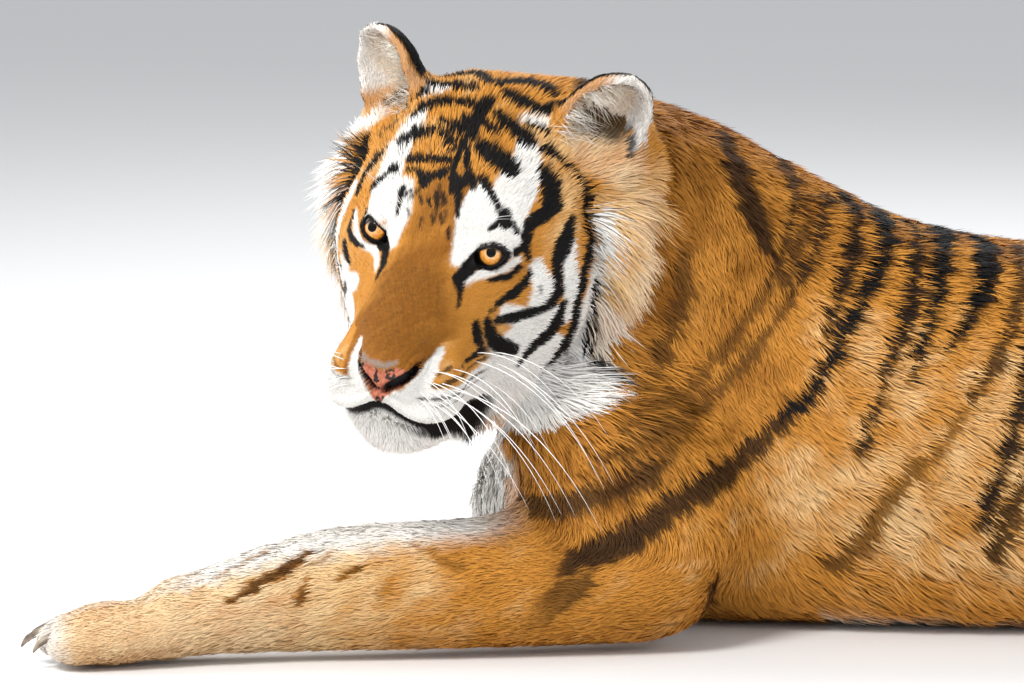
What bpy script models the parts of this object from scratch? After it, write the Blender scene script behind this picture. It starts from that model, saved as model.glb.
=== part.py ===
"""A Siberian tiger lying on its chest, head turned to its left: a still, life-size model.

Metres, +Z up, +X towards the tail, the animal's left side towards -Y. The floor is z = 0.
The body is one smooth form, grown from lofts and ellipsoids, and then parted by thin cuts.
"""

import math

import bmesh
import bpy
from mathutils import Matrix, Vector

# ---------------------------------------------------------------- driving sizes
MID_Y = 0.17  # the trunk's middle plane, while the body is built
GAP = 0.00035  # clearance of every cut
VOXEL = 0.005  # grain of the form before it is thinned
HEAD_SMOOTH = 14  # passes over the whole form
BODY_SMOOTH = 80  # further passes over the trunk, fewer over legs and tail
FORM_TRIANGLES = 3540  # of the whole form, before it is parted
SHIFT = Vector((-0.456, -0.070, 0.0))  # brings the middle of the footprint to the origin

EYE_RADIUS = 0.0185
EYE_CENTRE = (0.000, 0.059, 0.0)
SLIT_HALF = (0.0185, 0.0095)  # half length and half height of the open eye
EAR_RADII = (0.036, 0.049, 0.066)
EAR_WALL = 0.011
EAR_LEAN = {1: (34, 0.120), -1: (20, 0.112)}  # of the left ear and of the right: degrees outwards, and how far out
EAR_OPENING = math.radians(98)  # how far round the cup goes from its back

# The head's own axes: forwards, to the animal's left, and up, from midway between the eyes.
HEAD_AT = Vector((-0.073, -0.120, 0.424))
HEAD_YAW = math.radians(20.0)  # turned from -Y towards -X
HEAD_PITCH = math.radians(11.0)  # nose down
HEAD_ROLL = math.radians(-9.0)  # its left side low

COAT = (0.78, 0.40, 0.11, 1.0)
PALE = (0.88, 0.84, 0.76, 1.0)
NOSE = (0.66, 0.27, 0.20, 1.0)
AMBER = (0.74, 0.42, 0.08, 1.0)
HORN = (0.16, 0.13, 0.10, 1.0)


def head_matrix():
    """From (forwards, left, up) in the head to the world."""
    facing = Matrix(((0, 1, 0), (-1, 0, 0), (0, 0, 1))).to_4x4()
    turn = Matrix.Rotation(-HEAD_YAW, 4, "Z")
    nod = Matrix.Rotation(HEAD_PITCH, 4, "Y")
    tip = Matrix.Rotation(HEAD_ROLL, 4, "X")
    return Matrix.Translation(HEAD_AT) @ turn @ facing @ nod @ tip


HEAD = head_matrix()
BODY = Matrix.Identity(4)


# ---------------------------------------------------------------- shapes
def link(name, mesh, collection):
    piece = bpy.data.objects.new(name, mesh)
    collection.objects.link(piece)
    return piece


def mesh_from(bm, name):
    bmesh.ops.recalc_face_normals(bm, faces=bm.faces)
    mesh = bpy.data.meshes.new(name)
    bm.to_mesh(mesh)
    bm.free()
    return mesh


def ellipsoid(bm, place, centre, radii, turn=(0, 0, 0), segments=28):
    """An ellipsoid in the axes of place, turned about them by degrees."""
    matrix = place @ Matrix.Translation(centre) @ turned_by(turn) @ Matrix.Diagonal((*radii, 1))
    bmesh.ops.create_uvsphere(bm, u_segments=segments, v_segments=segments // 2, radius=1, matrix=matrix)


def turned_by(degrees):
    """A turn about X, then Y, then Z."""
    turned = Matrix.Identity(4)
    for axis, angle in zip("XYZ", degrees):
        turned = Matrix.Rotation(math.radians(angle), 4, axis) @ turned
    return turned


def spline(values, t):
    """A smooth curve through values, where t counts them."""
    last = len(values) - 1
    i = min(int(t), last - 1)
    u = t - i
    a, b, c, d = (values[max(0, min(last, i + k))] for k in (-1, 0, 1, 2))
    curve = (2 * a - 5 * b + 4 * c - d) * u**2 + (3 * b - a - 3 * c + d) * u**3
    return 0.5 * (2 * b + (c - a) * u + curve)


def loft(bm, place, stations, up=(0, 0, 1), narrow_top=0.0, steps=6, sides=28):
    """A closed tube through stations of (centre, half width, half height), narrower at its top."""
    centres = [Vector(s[0]) for s in stations]
    widths = [s[1] for s in stations]
    heights = [s[2] for s in stations]
    count = (len(stations) - 1) * steps
    rings = []
    for k in range(count + 1):
        t = k / steps
        centre = spline(centres, t)
        ahead = spline(centres, min(t + 0.05, count / steps)) - spline(centres, max(t - 0.05, 0))
        across = ahead.cross(Vector(up)).normalized()
        over = across.cross(ahead).normalized()
        ring = []
        for j in range(sides):
            angle = 2 * math.pi * j / sides
            wide = spline(widths, t) * math.cos(angle) * (1 - narrow_top * math.sin(angle))
            high = spline(heights, t) * math.sin(angle)
            ring.append(bm.verts.new(place @ (centre + across * wide + over * high)))
        rings.append(ring)
    bridge(bm, rings)


def outline(section, sides=36):
    """A smooth closed section: top, back half width, widest height, half width, belly half width, bottom."""
    top, back, middle, wide, belly, bottom = section
    half = [(back, top - 0.16 * (top - middle)), (wide, middle), (belly, bottom + 0.13 * (middle - bottom))]
    corners = [(0, top), *half, (0, bottom), *((-y, z) for y, z in reversed(half))]
    corners = [Vector(corner) for corner in corners]
    wrapped = corners[-2:] + corners + corners[:3]
    return [spline(wrapped, 2 + len(corners) * k / sides) for k in range(sides)]


def hull(bm, place, sections, steps=5):
    """A closed body through sections of (distance along, *outline) in the axes of place."""
    rows = [Vector(row) for row in sections]
    rings = []
    for k in range((len(rows) - 1) * steps + 1):
        along, *section = spline(rows, k / steps)
        rings.append([bm.verts.new(place @ Vector((along, y, z))) for y, z in outline(section)])
    bridge(bm, rings)


def bridge(bm, rings):
    """Closes a row of rings into one tube with flat ends."""
    for one, two in zip(rings, rings[1:]):
        for j in range(len(one)):
            bm.faces.new((one[j], one[j - 1], two[j - 1], two[j]))
    bm.faces.new(rings[0])
    bm.faces.new(reversed(rings[-1]))


def beside(point, side):
    """A point given for the left limb, on the side asked for."""
    x, y, z = point
    return (x, y, z) if side == "left" else (x, 2 * MID_Y - y, z)


# ---------------------------------------------------------------- the animal's form
def trunk_form(bm):
    """From the chest to the rump: x, then each section's outline."""
    place = Matrix.Translation((0, MID_Y, 0))
    sections = [
        (-0.005, 0.350, 0.040, 0.230, 0.085, 0.070, 0.110),
        (0.035, 0.450, 0.070, 0.240, 0.135, 0.115, 0.070),
        (0.110, 0.514, 0.090, 0.230, 0.165, 0.135, 0.020),
        (0.210, 0.512, 0.085, 0.220, 0.185, 0.150, -0.010),
        (0.300, 0.476, 0.085, 0.210, 0.198, 0.160, -0.010),
        (0.400, 0.424, 0.100, 0.195, 0.208, 0.170, -0.010),
        (0.510, 0.396, 0.115, 0.180, 0.214, 0.175, -0.010),
        (0.650, 0.386, 0.120, 0.175, 0.208, 0.170, -0.010),
        (0.800, 0.396, 0.115, 0.180, 0.185, 0.150, -0.010),
        (0.950, 0.392, 0.105, 0.190, 0.160, 0.120, 0.010),
        (1.060, 0.345, 0.085, 0.190, 0.125, 0.090, 0.040),
        (1.135, 0.250, 0.040, 0.170, 0.065, 0.045, 0.090),
    ]
    hull(bm, place, sections)


def neck_form(bm):
    stations = [
        ((0.26, 0.17, 0.290), 0.140, 0.150),
        ((0.17, 0.150, 0.355), 0.150, 0.172),
        ((0.09, 0.105, 0.396), 0.145, 0.168),
        ((0.035, 0.060, 0.402), 0.135, 0.162),
        ((-0.01, 0.010, 0.402), 0.112, 0.146),
    ]
    loft(bm, BODY, stations)
    ellipsoid(bm, BODY, (0.070, 0.110, 0.250), (0.085, 0.105, 0.130))
    ellipsoid(bm, BODY, (0.033, 0.105, 0.130), (0.092, 0.125, 0.078))
    ellipsoid(bm, BODY, (0.045, 0.020, 0.492), (0.135, 0.100, 0.095), (0, 4, 0))  # the nape, behind the crown


def shoulder_form(bm, side):
    """The shoulder blade, which stands up beside the spine, and the upper arm."""
    lean = 14 if side == "right" else -14
    ellipsoid(bm, BODY, beside((0.150, 0.062, 0.300), side), (0.110, 0.066, 0.185), (lean, 24, 0))
    ellipsoid(bm, BODY, beside((0.225, 0.110, 0.415), side), (0.070, 0.044, 0.060), (0, 30, 0))
    upper_arm = [
        (beside((0.035, 0.020, 0.270), side), 0.070, 0.085),
        (beside((0.085, -0.010, 0.205), side), 0.085, 0.100),
        (beside((0.150, -0.035, 0.130), side), 0.080, 0.098),
        (beside((0.190, -0.050, 0.075), side), 0.060, 0.070),
    ]
    loft(bm, BODY, upper_arm, up=(1, 0, 0.4))


def foreleg_form(bm):
    """The left foreleg, stretched out along the floor."""
    forearm = [
        ((0.215, -0.055, 0.062), 0.045, 0.050),
        ((0.165, -0.062, 0.072), 0.066, 0.074),
        ((0.070, -0.075, 0.076), 0.068, 0.080),
        ((-0.050, -0.092, 0.072), 0.064, 0.082),
        ((-0.150, -0.105, 0.070), 0.058, 0.080),
        ((-0.230, -0.115, 0.064), 0.056, 0.073),
        ((-0.300, -0.126, 0.050), 0.056, 0.058),
        ((-0.360, -0.136, 0.036), 0.058, 0.040),
    ]
    loft(bm, BODY, forearm)


def tucked_foreleg_form(bm):
    """The right foreleg, folded under the chest with its paw turned in."""
    forearm = [
        ((0.250, 0.375, 0.060), 0.045, 0.050),
        ((0.200, 0.350, 0.068), 0.064, 0.072),
        ((0.120, 0.290, 0.066), 0.062, 0.070),
        ((0.045, 0.225, 0.058), 0.055, 0.062),
        ((0.005, 0.180, 0.052), 0.050, 0.055),
    ]
    loft(bm, BODY, forearm)
    paw = [
        ((0.000, 0.190, 0.050), 0.046, 0.050),
        ((0.030, 0.130, 0.044), 0.052, 0.044),
        ((0.090, 0.085, 0.036), 0.056, 0.036),
        ((0.130, 0.075, 0.030), 0.046, 0.030),
    ]
    loft(bm, BODY, paw)


def paws():
    """Name, place and size of each paw that lies in the open. It points along its own X."""
    yield "paw_front_left", (-0.400, -0.143, 0.0), 171, 1.0
    yield "paw_hind_left", beside((0.745, -0.096, 0.0), "left"), 188, 0.94
    yield "paw_hind_right", beside((0.745, -0.096, 0.0), "right"), 172, 0.94


def paw_matrix(at, heading, size):
    return Matrix.Translation(at) @ Matrix.Rotation(math.radians(heading), 4, "Z") @ Matrix.Scale(size, 4)


def toe_centre(toe):
    row = toe - 1.5
    return Vector((0.052 - 0.010 * row**2, row * 0.0305, 0.027))


def paw_form(bm, place):
    """A paw flat on the floor: its pad and four toes."""
    ellipsoid(bm, place, (0.0, 0, 0.032), (0.062, 0.058, 0.036))
    for toe in range(4):
        ellipsoid(bm, place, toe_centre(toe), (0.036, 0.0195, 0.028), (0, 8, 6 - 4 * toe))


def make_claw(name, place, toe, collection):
    """A hooked claw that comes out over the end of its toe."""
    bm = bmesh.new()
    root = toe_centre(toe)
    stations = [(root + Vector(step), wide, 1.5 * wide) for step, wide in (
        ((0.018, 0, 0.006), 0.0042), ((0.034, 0, 0.004), 0.0036), ((0.043, 0, -0.004), 0.0022),
        ((0.047, 0, -0.011), 0.0007))]
    loft(bm, place, stations, steps=1, sides=6)
    return link(name, mesh_from(bm, name), collection)


def hind_leg_form(bm, side):
    """Thigh, shank and foot of a hind leg folded beside the belly."""
    ellipsoid(bm, BODY, beside((0.915, 0.040, 0.205), side), (0.190, 0.100, 0.172), (0, -10, 0))
    ellipsoid(bm, BODY, beside((0.780, -0.005, 0.205), side), (0.105, 0.075, 0.110), (0, -20, 0))
    shank = [
        (beside((0.735, -0.020, 0.190), side), 0.060, 0.070),
        (beside((0.820, -0.040, 0.130), side), 0.062, 0.072),
        (beside((0.920, -0.055, 0.085), side), 0.048, 0.052),
        (beside((1.005, -0.062, 0.058), side), 0.036, 0.044),
    ]
    loft(bm, BODY, shank)
    foot = [
        (beside((1.020, -0.062, 0.050), side), 0.030, 0.034),
        (beside((0.975, -0.066, 0.040), side), 0.040, 0.043),
        (beside((0.880, -0.076, 0.036), side), 0.044, 0.040),
        (beside((0.790, -0.090, 0.034), side), 0.050, 0.037),
    ]
    loft(bm, BODY, foot)


def tail_form(bm):
    stations = [
        ((1.060, 0.170, 0.210), 0.060, 0.060),
        ((1.150, 0.172, 0.140), 0.052, 0.052),
        ((1.250, 0.160, 0.066), 0.046, 0.046),
        ((1.340, 0.090, 0.040), 0.043, 0.042),
        ((1.370, -0.030, 0.038), 0.041, 0.040),
        ((1.330, -0.160, 0.037), 0.040, 0.039),
        ((1.220, -0.260, 0.036), 0.039, 0.038),
        ((1.080, -0.310, 0.035), 0.038, 0.037),
        ((0.960, -0.325, 0.034), 0.036, 0.036),
        ((0.900, -0.328, 0.032), 0.020, 0.022),
    ]
    loft(bm, BODY, stations)


def head_form(bm):
    """The head and its ruff, in the head's own axes: sections from the nape to the nose, then the bumps."""
    sections = [
        (-0.225, 0.095, 0.055, 0.000, 0.105, 0.075, -0.090),
        (-0.195, 0.125, 0.075, -0.010, 0.142, 0.105, -0.130),
        (-0.160, 0.136, 0.084, -0.022, 0.168, 0.122, -0.165),
        (-0.125, 0.134, 0.084, -0.030, 0.172, 0.118, -0.180),
        (-0.085, 0.118, 0.082, -0.035, 0.150, 0.100, -0.186),
        (-0.050, 0.094, 0.074, -0.038, 0.126, 0.084, -0.188),
        (-0.020, 0.062, 0.062, -0.046, 0.104, 0.074, -0.190),
        (0.010, 0.026, 0.050, -0.062, 0.084, 0.062, -0.192),
        (0.040, 0.002, 0.042, -0.086, 0.070, 0.052, -0.194),
        (0.070, -0.018, 0.038, -0.100, 0.066, 0.047, -0.196),
        (0.100, -0.038, 0.036, -0.108, 0.066, 0.042, -0.186),
        (0.130, -0.058, 0.034, -0.108, 0.056, 0.036, -0.150),
        (0.150, -0.070, 0.026, -0.094, 0.034, 0.022, -0.116),
    ]
    hull(bm, HEAD, sections)
    ellipsoid(bm, HEAD, (0.084, 0, -0.170), (0.040, 0.040, 0.030))  # chin
    ellipsoid(bm, HEAD, (0.138, 0, -0.088), (0.020, 0.040, 0.024))  # nose
    for side in (-1, 1):
        place = HEAD @ Matrix.Diagonal((1, side, 1, 1))
        for centre, radii, turn in (
            ((-0.040, 0.046, 0.022), (0.048, 0.044, 0.032), (0, 30, -20)),  # brow
            ((-0.014, 0.055, 0.000), (0.034, 0.036, 0.027), (0, 0, -30)),  # about the eye
            ((-0.050, 0.090, -0.045), (0.070, 0.036, 0.046), (0, 0, -34)),  # cheekbone
            ((0.096, 0.034, -0.114), (0.052, 0.040, 0.036), (0, 20, -4)),  # whisker pad
            ((-0.126, 0.120, -0.030), (0.042, 0.062, 0.105), (0, 0, 20)),  # ruff
            ((-0.148, 0.100, -0.098), (0.058, 0.060, 0.085), (20, 0, 20)),  # lower ruff
        ):
            ellipsoid(bm, place, centre, radii, turn)


def ear_matrix(side):
    """The ear's own axes: its opening, across, and up to its tip."""
    lean, out = EAR_LEAN[side]
    turn = Matrix.Rotation(math.radians(28 * side), 4, "Z")
    lean = Matrix.Rotation(math.radians(-lean * side), 4, "X")
    return HEAD @ Matrix.Translation((-0.128, out * side, 0.112)) @ lean @ turn


def make_ear(name, side, collection):
    """A cupped ear, open to the front: a deep round cup with a wall, its loops about the opening."""
    bm = bmesh.new()
    place = ear_matrix(side)
    deep, wide, tall = EAR_RADII
    rings = []
    steps = [EAR_OPENING * k / 4 for k in range(1, 5)]
    for wall, angles in ((0, steps), (EAR_WALL, reversed(steps))):
        for angle in angles:
            back = wall - (deep * math.cos(angle))
            out = math.sin(angle)
            rings.append([])
            for j in range(18):
                turn = 2 * math.pi * j / 18
                across, up = (wide - wall) * out * math.cos(turn), (tall - wall) * out * math.sin(turn)
                rings[-1].append(bm.verts.new(place @ Vector((back, across, up))))
    bridge(bm, rings)
    return link(name, mesh_from(bm, name), collection)


def grow_form(collection):
    """Every mass joined into one closed skin, smoothed, thinned, and flat where it lies on the floor."""
    bm = bmesh.new()
    trunk_form(bm)
    neck_form(bm)
    for side in ("left", "right"):
        shoulder_form(bm, side)
        hind_leg_form(bm, side)
    foreleg_form(bm)
    tucked_foreleg_form(bm)
    tail_form(bm)
    head_form(bm)
    for _, at, heading, size in paws():
        paw_form(bm, paw_matrix(at, heading, size))
    form = link("form", mesh_from(bm, "form"), collection)
    remesh = form.modifiers.new("one skin", "REMESH")
    remesh.mode = "VOXEL"
    remesh.voxel_size = VOXEL
    soften(form, "soften", HEAD_SMOOTH, "")
    freeze(form)
    weigh(form, "body", body_weight)
    soften(form, "soften body", BODY_SMOOTH, "body")
    freeze(form)
    weigh(form, "plain", plain_weight)
    thin = form.modifiers.new("thin", "DECIMATE")
    thin.ratio = FORM_TRIANGLES / (2 * len(form.data.polygons))
    thin.vertex_group = "plain"
    thin.vertex_group_factor = 1.0
    freeze(form)
    combine(form, volume(*box((-1, -1, -1), (2, 2, 0))), "DIFFERENCE")
    return form


def soften(obj, name, passes, group):
    smooth = obj.modifiers.new(name, "SMOOTH")
    smooth.factor = 0.5
    smooth.iterations = passes
    smooth.vertex_group = group


def freeze(obj):
    """Replaces an object's mesh by what its modifiers make of it."""
    bpy.context.view_layer.update()
    graph = bpy.context.evaluated_depsgraph_get()
    mesh = bpy.data.meshes.new_from_object(obj.evaluated_get(graph), depsgraph=graph)
    obj.modifiers.clear()
    obj.data = mesh


def ramp(value, low, high):
    t = max(0.0, min(1.0, (value - low) / (high - low)))
    return t * t * (3 - 2 * t)


def weigh(obj, name, weight_at):
    group = obj.vertex_groups.get(name) or obj.vertex_groups.new(name=name)
    for vertex in obj.data.vertices:
        group.add([vertex.index], weight_at(vertex.co), "REPLACE")


def near_paws(point):
    """1 about the paws that lie in the open."""
    front = ramp(point.x, -0.27, -0.37)
    hind = ramp(point.x, 0.60, 0.66) * ramp(point.x, 0.80, 0.76) * ramp(point.z, 0.12, 0.09)
    return max(front, hind)


def in_head(point, back, front):
    """0 behind and below the head, 1 in it, rising from back to front along it."""
    local = HEAD.inverted() @ point
    return ramp(local.x, back, front) * ramp(local.z, -0.28, -0.21)


def body_weight(point):
    """0 on the head and the paws, which keep their detail, 1 on the trunk, less on legs and tail."""
    trunk = max(ramp(point.z, 0.08, 0.16), 0.35) * (1 - 0.65 * ramp(point.x, 1.10, 1.18))
    return (1 - in_head(point, -0.20, -0.10)) * (1 - near_paws(point)) * trunk


def plain_weight(point):
    """How freely the form may be thinned."""
    return 1 - 0.75 * max(in_head(point, -0.16, -0.08), near_paws(point))


# ---------------------------------------------------------------- parting
def plan(corners, low, high, side="left"):
    """A region with this outline in plan, from low to high. One for a left limb is mirrored for the right."""
    return [beside((x, y, low), side) for x, y in corners], (0, 0, high - low)


def box(low, high, side="left"):
    (x0, y0, z0), (x1, y1, z1) = low, high
    return plan([(x0, y0), (x1, y0), (x1, y1), (x0, y1)], z0, z1, side)


def profile(place, corners, near, far):
    """A region with this outline in the XZ plane of place, from near to far along its Y."""
    ends = [place @ Vector((x, near, z)) for x, z in corners]
    return ends, place.to_3x3() @ Vector((0, far - near, 0))


def volume(corners, along):
    """A closed prism: corners, and the way that they are drawn out."""
    bm = bmesh.new()
    near = [bm.verts.new(corner) for corner in corners]
    far = [bm.verts.new(Vector(corner) + Vector(along)) for corner in corners]
    bridge(bm, [near, far])
    return link("region", mesh_from(bm, "region"), bpy.data.collections["regions"])


def widen(obj):
    """Moves every face of an object outwards by the clearance."""
    bm = bmesh.new()
    bm.from_mesh(obj.data)
    bm.normal_update()
    moves = [vertex.normal * vertex.calc_shell_factor() * GAP for vertex in bm.verts]
    for vertex, move in zip(bm.verts, moves):
        vertex.co += move
    bm.to_mesh(obj.data)
    bm.free()


def combine(obj, other, operation):
    boolean = obj.modifiers.new(operation.lower(), "BOOLEAN")
    boolean.operation = operation
    boolean.solver = "EXACT"
    boolean.object = other
    freeze(obj)


def part_off(rest, name, region):
    """Takes what lies in a region off the rest, as a piece of its own."""
    piece = link(name, rest.data.copy(), rest.users_collection[0])
    cutter = volume(*region)
    combine(piece, cutter, "INTERSECT")
    widen(cutter)
    combine(rest, cutter, "DIFFERENCE")
    return piece


def body_regions():
    """Regions of the body behind the head, each taken off what the ones before it leave."""
    forearm = [(-0.40, -0.1), (0.235, -0.1), (0.235, 0.10), (0.060, 0.125), (-0.060, 0.22), (-0.40, 0.22)]
    hind_paw = [(0.655, -0.22), (0.800, -0.22), (0.800, -0.028), (0.720, -0.034), (0.655, -0.047)]
    yield "neck", plan([(-0.086, 0.34), (0.224, -0.06), (0.0, -0.35), (-0.40, 0.05)], 0.245, 0.75)
    yield "paw_front_left", box((-0.70, -0.40, -0.1), (-0.335, 0.10, 0.3))
    yield "forearm_left", profile(BODY, forearm, -0.40, 0.005)
    yield "shoulder_left", box((-0.036, -0.40, 0.0), (0.300, 0.050, 0.60))
    yield "forearm_right", box((-0.10, -0.40, -0.1), (0.290, 0.050, 0.118), "right")
    yield "shoulder_right", box((-0.10, -0.40, 0.0), (0.300, 0.050, 0.60), "right")
    yield "paw_front_right", box((-0.10, 0.05, -0.1), (0.130, 0.20, 0.080), "right")
    yield "tail_tip", box((0.80, -0.50, -0.1), (1.180, -0.215, 0.2))
    yield "tail_middle", box((1.10, -0.50, -0.1), (1.600, 0.020, 0.3))
    yield "tail_root", box((1.110, -0.10, -0.1), (1.600, 0.50, 0.4))
    for side in ("left", "right"):
        yield f"paw_hind_{side}", plan(hind_paw, -0.1, 0.088, side)
        yield f"shank_{side}", box((0.655, -0.22, -0.1), (1.085, -0.010, 0.105), side)
        yield f"thigh_{side}", box((0.660, -0.40, 0.02), (1.120, 0.070, 0.60), side)
    yield "chest", box((-0.30, -0.50, -0.1), (0.360, 0.70, 0.6))
    yield "belly", box((0.20, -0.50, -0.1), (0.760, 0.70, 0.6))


def part_head(rest):
    """Takes off the head, and from it the jaw, the muzzle and the nose, whose outline is from ahead."""
    whole = [(-0.071, -0.213), (0.30, -0.213), (0.30, 0.25), (-0.26, 0.25)]
    jaw = [(-0.02, -0.26), (0.25, -0.26), (0.25, -0.136), (-0.02, -0.160)]
    muzzle = [(0.035, -0.30), (0.30, -0.30), (0.30, 0.10), (0.035, 0.10)]
    half_nose = [(0.012, -0.118), (0.038, -0.088), (0.032, -0.068)]
    nose = half_nose + [(-y, z) for y, z in reversed(half_nose)]
    head = part_off(rest, "head", profile(HEAD, whole, -0.22, 0.22))
    part_off(head, "jaw", profile(HEAD, jaw, -0.3, 0.3))
    upper = part_off(head, "muzzle", profile(HEAD, muzzle, -0.3, 0.3))
    part_off(upper, "nose", profile(HEAD @ Matrix.Rotation(math.pi / 2, 4, "Z"), nose, -0.25, -0.112))
    return head


def make_eye(name, side, head, collection):
    """An eyeball in its socket, with the slit between the lids cut through to it."""
    forward, out, up = EYE_CENTRE
    centre = (forward, out * side, up)
    bm = bmesh.new()
    ellipsoid(bm, HEAD, centre, (EYE_RADIUS,) * 3, (0, 90, 0), segments=16)
    eye = link(name, mesh_from(bm, name), collection)
    bm = bmesh.new()
    ellipsoid(bm, HEAD, centre, (EYE_RADIUS,) * 3, (0, 90, 0), segments=16)
    socket = link("socket", mesh_from(bm, "socket"), bpy.data.collections["regions"])
    widen(socket)
    combine(head, socket, "DIFFERENCE")
    bm = bmesh.new()
    long, high = SLIT_HALF
    ahead = (forward + 0.030, (out + 0.002) * side, up)
    ellipsoid(bm, HEAD, ahead, (0.030, long, high), (0, 0, 24 * side), segments=20)
    slit = link("slit", mesh_from(bm, "slit"), bpy.data.collections["regions"])
    combine(head, slit, "DIFFERENCE")
    return eye


def material(name, colour, roughness):
    made = bpy.data.materials.new(name)
    made.use_nodes = True
    shader = made.node_tree.nodes["Principled BSDF"]
    shader.inputs["Base Color"].default_value = colour
    shader.inputs["Roughness"].default_value = roughness
    shader.inputs["Metallic"].default_value = 0.0
    return made


def finish(piece, shown):
    """Brings a piece to the middle of the floor, and gives it its material."""
    piece.data.transform(Matrix.Translation(SHIFT))
    piece.data.name = piece.name
    piece.data.materials.clear()
    piece.data.materials.append(shown)


def main():
    for obj in list(bpy.data.objects):
        bpy.data.objects.remove(obj)
    tiger = bpy.data.collections.new("siberian_tiger")
    regions = bpy.data.collections.new("regions")
    for collection in (tiger, regions):
        bpy.context.scene.collection.children.link(collection)
    rest = grow_form(tiger)
    head = part_head(rest)
    for name, region in body_regions():
        part_off(rest, name, region)
    rest.name = "hips"
    surface = link("head surface", head.data.copy(), regions)
    widen(surface)
    for side, way in (("left", 1), ("right", -1)):
        combine(make_ear(f"ear_{side}", way, tiger), surface, "DIFFERENCE")
        make_eye(f"eye_{side}", way, head, tiger)
    for name, at, heading, size in paws():
        paw = link("paw surface", tiger.objects[name].data.copy(), regions)
        widen(paw)
        for toe in range(4):
            claw = f"{name.replace('paw', 'claw')}_{toe + 1}"
            combine(make_claw(claw, paw_matrix(at, heading, size), toe, tiger), paw, "DIFFERENCE")
    for obj in list(regions.objects):
        bpy.data.objects.remove(obj)
    bpy.data.collections.remove(regions)

    coat = material("orange coat", COAT, 0.9)
    pale = material("pale coat", PALE, 0.9)
    shown = {
        "jaw": pale, "belly": pale, "nose": material("nose leather", NOSE, 0.45),
        "eye": material("amber eye", AMBER, 0.08), "claw": material("claw horn", HORN, 0.35),
    }
    for piece in tiger.objects:
        finish(piece, shown.get(piece.name.split("_")[0], coat))


main()
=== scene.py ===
import math
import time

import bmesh
import bpy
import numpy as np
from mathutils import Matrix, Vector
from mathutils.bvhtree import BVHTree


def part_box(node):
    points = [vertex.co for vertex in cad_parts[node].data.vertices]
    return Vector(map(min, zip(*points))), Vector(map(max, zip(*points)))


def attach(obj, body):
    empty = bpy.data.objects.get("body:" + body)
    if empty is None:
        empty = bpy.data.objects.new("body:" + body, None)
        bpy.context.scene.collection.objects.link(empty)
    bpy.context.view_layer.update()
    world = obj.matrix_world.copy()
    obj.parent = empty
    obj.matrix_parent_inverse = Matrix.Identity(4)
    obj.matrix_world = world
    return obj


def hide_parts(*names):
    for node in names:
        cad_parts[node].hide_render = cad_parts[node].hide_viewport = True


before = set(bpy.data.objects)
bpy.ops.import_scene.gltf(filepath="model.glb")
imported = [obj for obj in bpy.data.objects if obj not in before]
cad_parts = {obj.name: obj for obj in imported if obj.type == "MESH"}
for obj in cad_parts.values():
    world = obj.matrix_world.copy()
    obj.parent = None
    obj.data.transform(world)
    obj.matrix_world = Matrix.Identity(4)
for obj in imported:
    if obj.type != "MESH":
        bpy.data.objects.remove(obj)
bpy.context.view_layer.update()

started = time.time()


def report(stage):
    print(f"tiger: {stage} ({time.time() - started:.0f} s)", flush=True)


# The head's own axes: forwards, to the animal's left, and up, from midway between the eyes

headPose = {
    "yaw": 20.0,  # degrees, nose turned from -Y towards -X
    "pitch": 11.0,  # nose down
    "roll": -9.0,  # its left side low
    "eyeMiddle": (-0.529, -0.190, 0.424),
}
eyePlan = {
    "centres": {1: (0.000, 0.059, 0.0), -1: (-0.002, -0.0635, 0.0005)},  # of the balls, left and right
    "radius": 0.0185,
}


def headMatrix():
    facing = Matrix(((0, 1, 0), (-1, 0, 0), (0, 0, 1))).to_4x4()
    turn = Matrix.Rotation(math.radians(-headPose["yaw"]), 4, "Z")
    nod = Matrix.Rotation(math.radians(headPose["pitch"]), 4, "Y")
    tip = Matrix.Rotation(math.radians(headPose["roll"]), 4, "X")
    return Matrix.Translation(headPose["eyeMiddle"]) @ turn @ facing @ nod @ tip


headPlace = headMatrix()
headTurn = np.array(headPlace.to_3x3())
headAt = np.array(headPlace.translation)


def toHead(points):
    return (points - headAt) @ headTurn


def fromHead(points):
    return np.asarray(points) @ headTurn.T + headAt


# Small tools for whole arrays of points

def unit(vectors):
    return vectors / np.maximum(np.linalg.norm(vectors, axis=-1, keepdims=True), 1e-9)


def ramp(values, low, high):
    t = np.clip((values - low) / (high - low), 0, 1)
    return t * t * (3 - 2 * t)


def hill(values, middle, half, soft):
    return 1 - ramp(np.abs(values - middle), half - soft / 2, half + soft / 2)


def oval(across, up, middle, size, edge):
    # 1 inside an oval, falling to 0 over its edge, which is given in shares of its size
    (x, y), (wide, tall) = middle, size
    return 1 - ramp(np.hypot((across - x) / wide, (up - y) / tall), *edge)


def ripple(points, size, seed, count=9):
    # smooth noise about -1 to 1, whose waves are about size long
    source = np.random.default_rng(seed)
    waves = source.normal(size=(count, 3))
    pitches = (2 * math.pi / size) * source.uniform(0.6, 1.5, (count, 1))
    waves *= pitches / np.linalg.norm(waves, axis=1, keepdims=True)
    starts = source.uniform(0, 2 * math.pi, count)
    total = np.zeros(len(points))
    for wave, start in zip(waves, starts):
        total += np.sin(points @ wave + start)
    return total / math.sqrt(count / 2) * 0.6


def shakes(points, size, *seeds):
    return np.stack([ripple(points, size, seed) for seed in seeds], axis=1)


def placeOn(path, points):
    # each point's distance to the path, the stretch it is nearest to, and how far along that it lies
    best = np.full(len(points), 1e9)
    stretch, share = np.zeros(len(points), int), np.zeros(len(points))
    for k in range(len(path) - 1):
        step = path[k + 1] - path[k]
        t = np.clip((points - path[k]) @ step / (step @ step), 0, 1)
        gap = np.linalg.norm(points - path[k] - t[:, None] * step, axis=1)
        near = gap < best
        best[near], stretch[near], share[near] = gap[near], k, t[near]
    return best, stretch, share


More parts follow.
